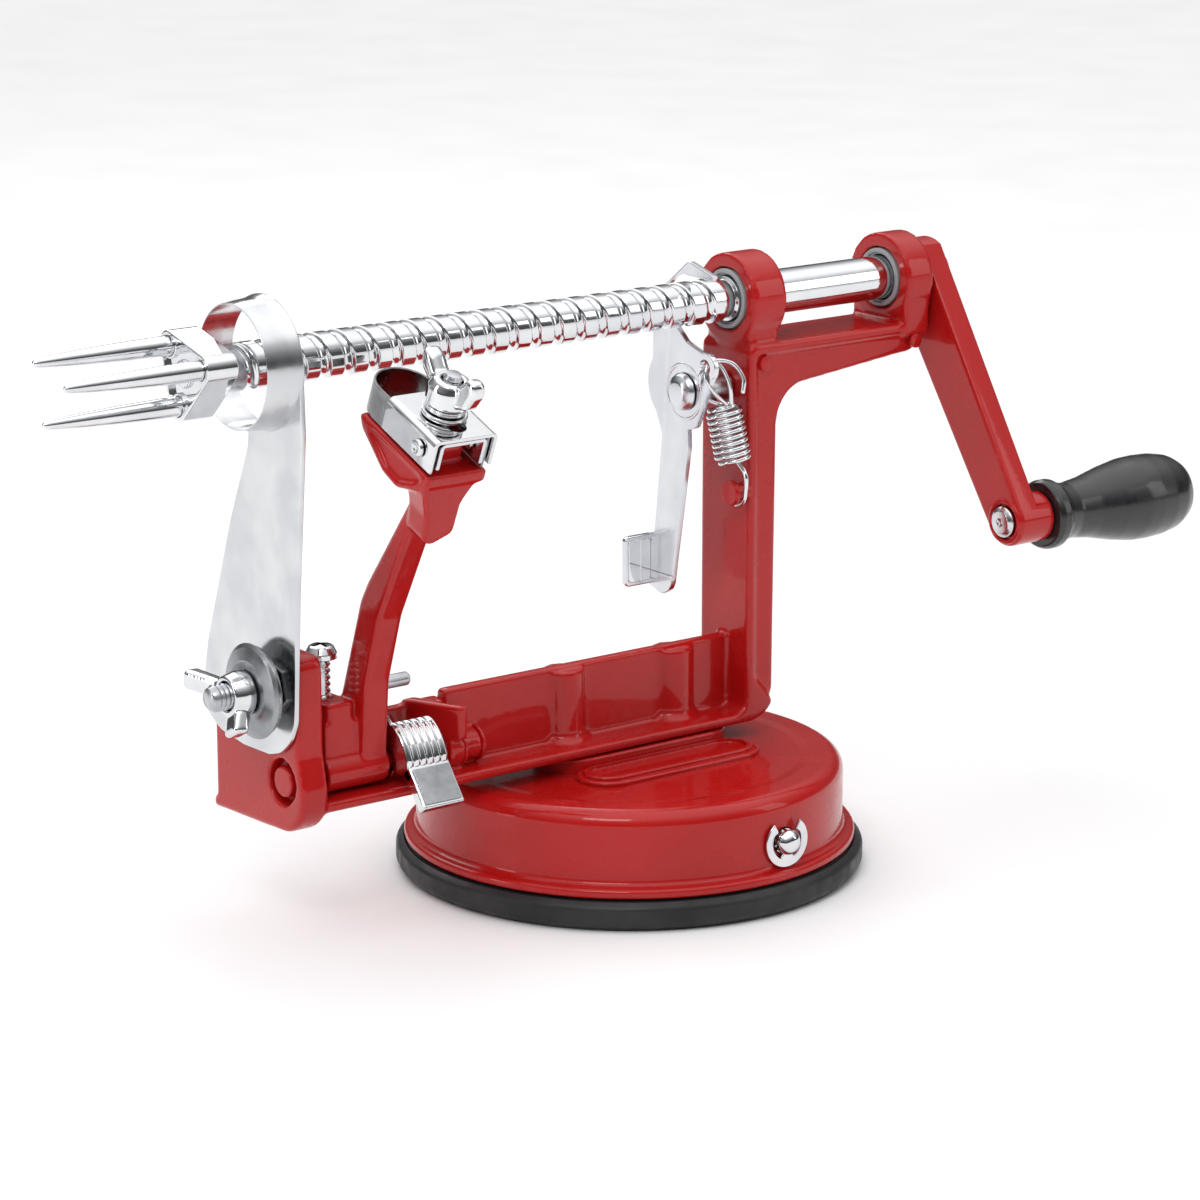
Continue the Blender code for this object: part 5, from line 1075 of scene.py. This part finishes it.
def build_clamp():
    bolt = [(0, -7.2), (1.7, -7.2)] + threads(2.0, 1.75, -6.8, 9.2, 0.8) + [(1.6, 9.7), (0.9, 9.9), (0, 9.9)]
    obj = link("clamp_stud", in_head(lathe(bolt, "Z", CLAMP, 40)))
    finish(obj, "arm", "zinc_steel", ZINC, "clamp_bolt", angle=50)
    obj = link("washer_flat", in_head(washer(4.9, CLAMP_BORE, "Z", CLAMP, 0.3, 1.3, 0.3)))
    finish(obj, "arm", "zinc_steel", STEEL, "flat_washer")
    rings = [washer(4.3, CLAMP_BORE, "Z", CLAMP, 1.6, 2.2, 0.2)]
    rings += [washer(4.35, CLAMP_BORE, "Z", CLAMP, 2.2, 2.7, 0.2)]
    finish(link("washer_spring", in_head(together(*rings))), "arm", "zinc_steel", STEEL, "spring_washer")
    low = 3.0
    profile = [(2.3, low, 0.1), (4.7, low, 0.3), (4.7, low + 3.6, 1.0)]
    profile += [(3.6, low + 5.6, 1.0), (2.3, low + 5.6, 0.3)]
    hub = lathe(soft(profile, 0.4, 6), "Z", CLAMP, 56)
    left = [(5.6, low + 1.0, 1), (1.2, low + 2.4, 2.5), (-0.6, low + 7.0, 2.6)]
    left += [(0.6, low + 9.5, 1.6), (3.0, low + 9.3, 2.0), (6.6, low + 4.6, 2)]
    right = [(12.4, low + 1.0, 1), (17.4, low + 3.6, 2.4), (18.6, low + 6.6, 1.6)]
    right += [(17.8, low + 8.4, 1.4), (15.2, low + 7.8, 2.5), (11.4, low + 4.6, 2)]
    add = [slab(soft(left), "X", -1.7, 1.7, 1.1, 5), slab(soft(right), "X", -2.2, 2.2, 1.6, 6)]
    obj = weld("head_wing_nut", hub, add, [rod(CLAMP_BORE, "Z", CLAMP, 1, 12, 40)])
    obj.data.transform(Matrix.Translation(HEAD.translation * MM) @ HEAD.to_3x3().to_4x4())
    cast(obj, 0.22, 5)
    finish(obj, "head_nut", "chrome", CHROME, "peeler_wing_nut", angle=None, weighted=False)


# ---------------------------------------------------------------- slicer


def build_slicer():
    s = SHAFT_Z
    outline = [(-9.7, 50.0, 5), (-7.4, 45.6, 6), (-3.8, 42.6, 6), (0.5, 41.4, 4), (10.2, 41.3, 8)]
    outline += [(19.2, 42.6, 6), (24.2, 45.4, 6), (25.8, 50.5, 6), (23.5, 61.5, 20)]
    outline += [(13.6, 89.7, 60), (6.2, 106.6, 10), (5.6, s - 10, 1), (-10.0, s - 2, 0)]
    outline += [(-13.8, s - 1, 0), (-14.3, 112.0, 20), (-11.2, 77.2, 40)]
    plate = slab(soft(outline, 0, 10), "X", -95.5, -94.3, 0.32, 4)
    ring = [(12.2, -102.7, 0), (13.15, -102.7, 0.15), (13.5, -100.0, 6), (13.75, -97.0, 6)]
    ring += [(14.3, -95.0, 1.5), (14.3, -94.5, 0.2), (12.2, -94.5, 0)]
    ring = lathe(soft(ring, 0.2, 8), "X", SHAFT, 140)
    cone = lathe(soft([(0, -104), (12.95, -104), (12.85, -98), (12.9, -93), (0, -93)], 0), "X", SHAFT, 140)
    obj = weld("slicer_plate", plate, [ring], [cone, rod(BOLT_BORE, "X", BOLT, -97, -93, 48)])
    finish(obj, "slicer", "polished_steel", STEEL, "slicer_corer_blade", angle=30)


def hexagon(radius, start):
    return arc(*BOLT, radius, start, start + 300, 5)


def build_bolt():
    head = slab(soft(hexagon(5.0, 30), 0.3, 3), "X", -87.0, -84.0, 0.4, 3)
    shank = [(0, -110.5), (1.9, -110.5), (2.4, -110.1)] + threads(2.9, 2.5, -109.6, -95.0, 1.1)
    shank += [(2.9, -94.8), (2.9, -86), (0, -86)]
    body = lathe(shank, "X", BOLT, 48)
    finish(link("blade_stud", together(body, head)), "base", "zinc_steel", ZINC, "blade_bolt", angle=50)
    nut = slab(soft(hexagon(6.2, 15), 0.4, 3), "X", -97.9, -95.8, 0.35, 3)
    obj = weld("hex_nut", nut, [], [rod(BOLT_BORE, "X", BOLT, -99, -94, 48)])
    finish(obj, "base", "zinc_steel", ZINC, "clamp_nut")
    obj = link("thin_washer", washer(9.6, BOLT_BORE, "X", BOLT, -99.1, -98.2, 0.25))
    finish(obj, "base", "dark_steel", DARK, "back_washer")
    dome = [(BOLT_BORE, -101.0, 0.1), (6.6, -101.0, 2), (9.4, -100.2, 0.6)]
    dome += [(10.2, -99.6, 0.2), (10.2, -99.4, 0.1), (BOLT_BORE, -99.4, 0.1)]
    obj = link("domed_washer", lathe(soft(dome, 0.2, 5), "X", BOLT, 80))
    finish(obj, "base", "zinc_steel", DULL, "front_washer")
    base = -101.3
    hub = [(BOLT_BORE, base, 0.1), (4.9, base, 0.3), (4.9, base - 2.4, 1), (4.2, base - 5.0, 0.8)]
    hub.append((BOLT_BORE, base - 5.0, 0.2))
    hub = lathe(soft(hub, 0.3, 6), "X", BOLT, 56)
    near = [(3.6, -1.2, 0.5), (5.8, -1.6, 1), (8.8, -3.0, 0.9)]
    near += [(8.4, -6.8, 0.9), (5.6, -5.6, 1.5), (3.6, -4.6, 0.5)]
    far = [(3.6, -0.9, 0.5), (6.2, -1.9, 2), (13.2, -3.6, 0.9)]
    far += [(13.0, -7.6, 0.9), (6.2, -5.6, 2), (3.6, -4.6, 0.5)]
    add = []
    for sign, shape, half, turn in ((-1, near, 2.6, 62), (1, far, 2.1, 6)):
        points = [(base + h, BOLT[0] + sign * r, e) for r, h, e in shape]
        mesh = slab(soft(points), "Z", BOLT[1] - half, BOLT[1] + half, 0.9, 4)
        add.append(turned_about(mesh, "X", (0, BOLT[0], BOLT[1]), turn))
    obj = cast(link("front_wing_nut", together(hub, *add)), 0.25, 12)
    finish(obj, "slicer_nut", "chrome", CHROME, "blade_wing_nut", angle=None, weighted=False)


def keep_node(name, material):
    obj = frame["nodes"][name]
    obj.data.materials.clear()
    obj.data.materials.append(material)
    edge = obj.modifiers.new("edge", "BEVEL")
    edge.width = 0.2 * MM
    edge.segments = 2
    edge.limit_method = "ANGLE"


# ---------------------------------------------------------------- studio


def area_light(name, place, target, size, power, size_y=None):
    light = bpy.data.lights.new(name, "AREA")
    light.energy = power
    light.size = size
    if size_y:
        light.shape = "RECTANGLE"
        light.size_y = size_y
    obj = bpy.data.objects.new(name, light)
    obj.location = place
    obj.rotation_euler = (Vector(target) - Vector(place)).to_track_quat("-Z", "Y").to_euler()
    bpy.context.scene.collection.objects.link(obj)
    return obj


def build_studio():
    camera = bpy.data.cameras.new("camera")
    camera.lens = 125.24
    camera.sensor_width = 36.0
    camera.clip_start = 0.01
    eye = bpy.data.objects.new("camera", camera)
    eye.location = (-0.55228, -0.70814, 0.28966)
    ahead = Vector((0.59022, 0.76829, -0.24768))
    eye.rotation_euler = ahead.to_track_quat("-Z", "Y").to_euler()
    bpy.context.scene.collection.objects.link(eye)
    bpy.context.scene.camera = eye

    bpy.context.scene.view_settings.view_transform = "Standard"
    bpy.context.scene.view_settings.look = "None"
    world = bpy.data.worlds.new("studio")
    bpy.context.scene.world = world
    world.use_nodes = True
    tree = world.node_tree
    background = tree.nodes["Background"]
    place = tree.nodes.new("ShaderNodeTexCoord")
    split = tree.nodes.new("ShaderNodeSeparateXYZ")
    tree.links.new(place.outputs["Generated"], split.inputs["Vector"])
    tones = tree.nodes.new("ShaderNodeValToRGB")
    height = tree.nodes.new("ShaderNodeMapRange")
    height.inputs["From Min"].default_value = -1
    height.inputs["From Max"].default_value = 1
    tree.links.new(split.outputs["Z"], height.inputs["Value"])
    tree.links.new(height.outputs["Result"], tones.inputs["Fac"])
    stops = [(0.0, 0.4), (0.48, 0.4), (0.505, 0.05), (0.60, 0.05)]
    stops += [(0.70, 0.16), (0.80, 0.40), (0.87, 0.80), (1.0, 1.0)]
    ramp_stops = tones.color_ramp.elements
    while len(ramp_stops) < len(stops):
        ramp_stops.new(0.5)
    for element, (position, tone) in zip(ramp_stops, stops):
        element.position = position
        element.color = (tone, tone, tone * 1.01, 1)
    tree.links.new(tones.outputs["Color"], background.inputs["Color"])
    background.inputs["Strength"].default_value = 1.7
    plain = tree.nodes.new("ShaderNodeBackground")
    plain.inputs["Color"].default_value = (0.9, 0.9, 0.9, 1)
    seen = tree.nodes.new("ShaderNodeLightPath")
    both = tree.nodes.new("ShaderNodeMixShader")
    tree.links.new(seen.outputs["Is Camera Ray"], both.inputs["Fac"])
    tree.links.new(background.outputs["Background"], both.inputs[1])
    tree.links.new(plain.outputs["Background"], both.inputs[2])
    tree.links.new(both.outputs["Shader"], tree.nodes["World Output"].inputs["Surface"])

    area_light("key", (-0.7, -0.55, 0.9), (0, 0, 0.06), 0.45, 2.2, 0.25)
    area_light("fill", (0.75, -0.75, 0.45), (0, 0, 0.06), 0.3, 1.0, 0.6)
    area_light("back", (0.15, 0.85, 0.75), (0, 0, 0.06), 0.8, 1.6, 0.3)
    area_light("side", (-1.0, 0.25, 0.3), (-0.05, 0, 0.08), 0.2, 1.6, 0.6)

    mesh = bmesh.new()
    corners = [mesh.verts.new((x * 12000, y * 12000, -0.05)) for x, y in ((-1, -1), (1, -1), (1, 1), (-1, 1))]
    mesh.faces.new(corners)
    bmesh.ops.scale(mesh, vec=(MM, MM, MM), verts=mesh.verts)
    data = bpy.data.meshes.new("floor")
    mesh.to_mesh(data)
    mesh.free()
    floor = bpy.data.objects.new("floor", data)
    bpy.context.scene.collection.objects.link(floor)
    pale = new_material("pale_floor", (0.93, 0.93, 0.93), 0.6)
    vary_roughness(pale, 20, 0.55, 0.65)
    data.materials.append(pale)


for build in (
    build_base,
    build_clip,
    build_suction_lever,
    build_frame,
    build_shaft,
    build_fork,
    build_crank,
    build_bushes,
    build_lever,
    build_spring,
    build_arm,
    build_stop_screw,
    build_torsion,
    build_latch,
    build_head,
    build_clamp,
    build_slicer,
    build_bolt,
):
    build()
for name in ("frame_screw_1", "frame_screw_2", "lift_cam_near", "lift_cam_far", "lift_plate"):
    keep_node(name, ZINC)
build_studio()
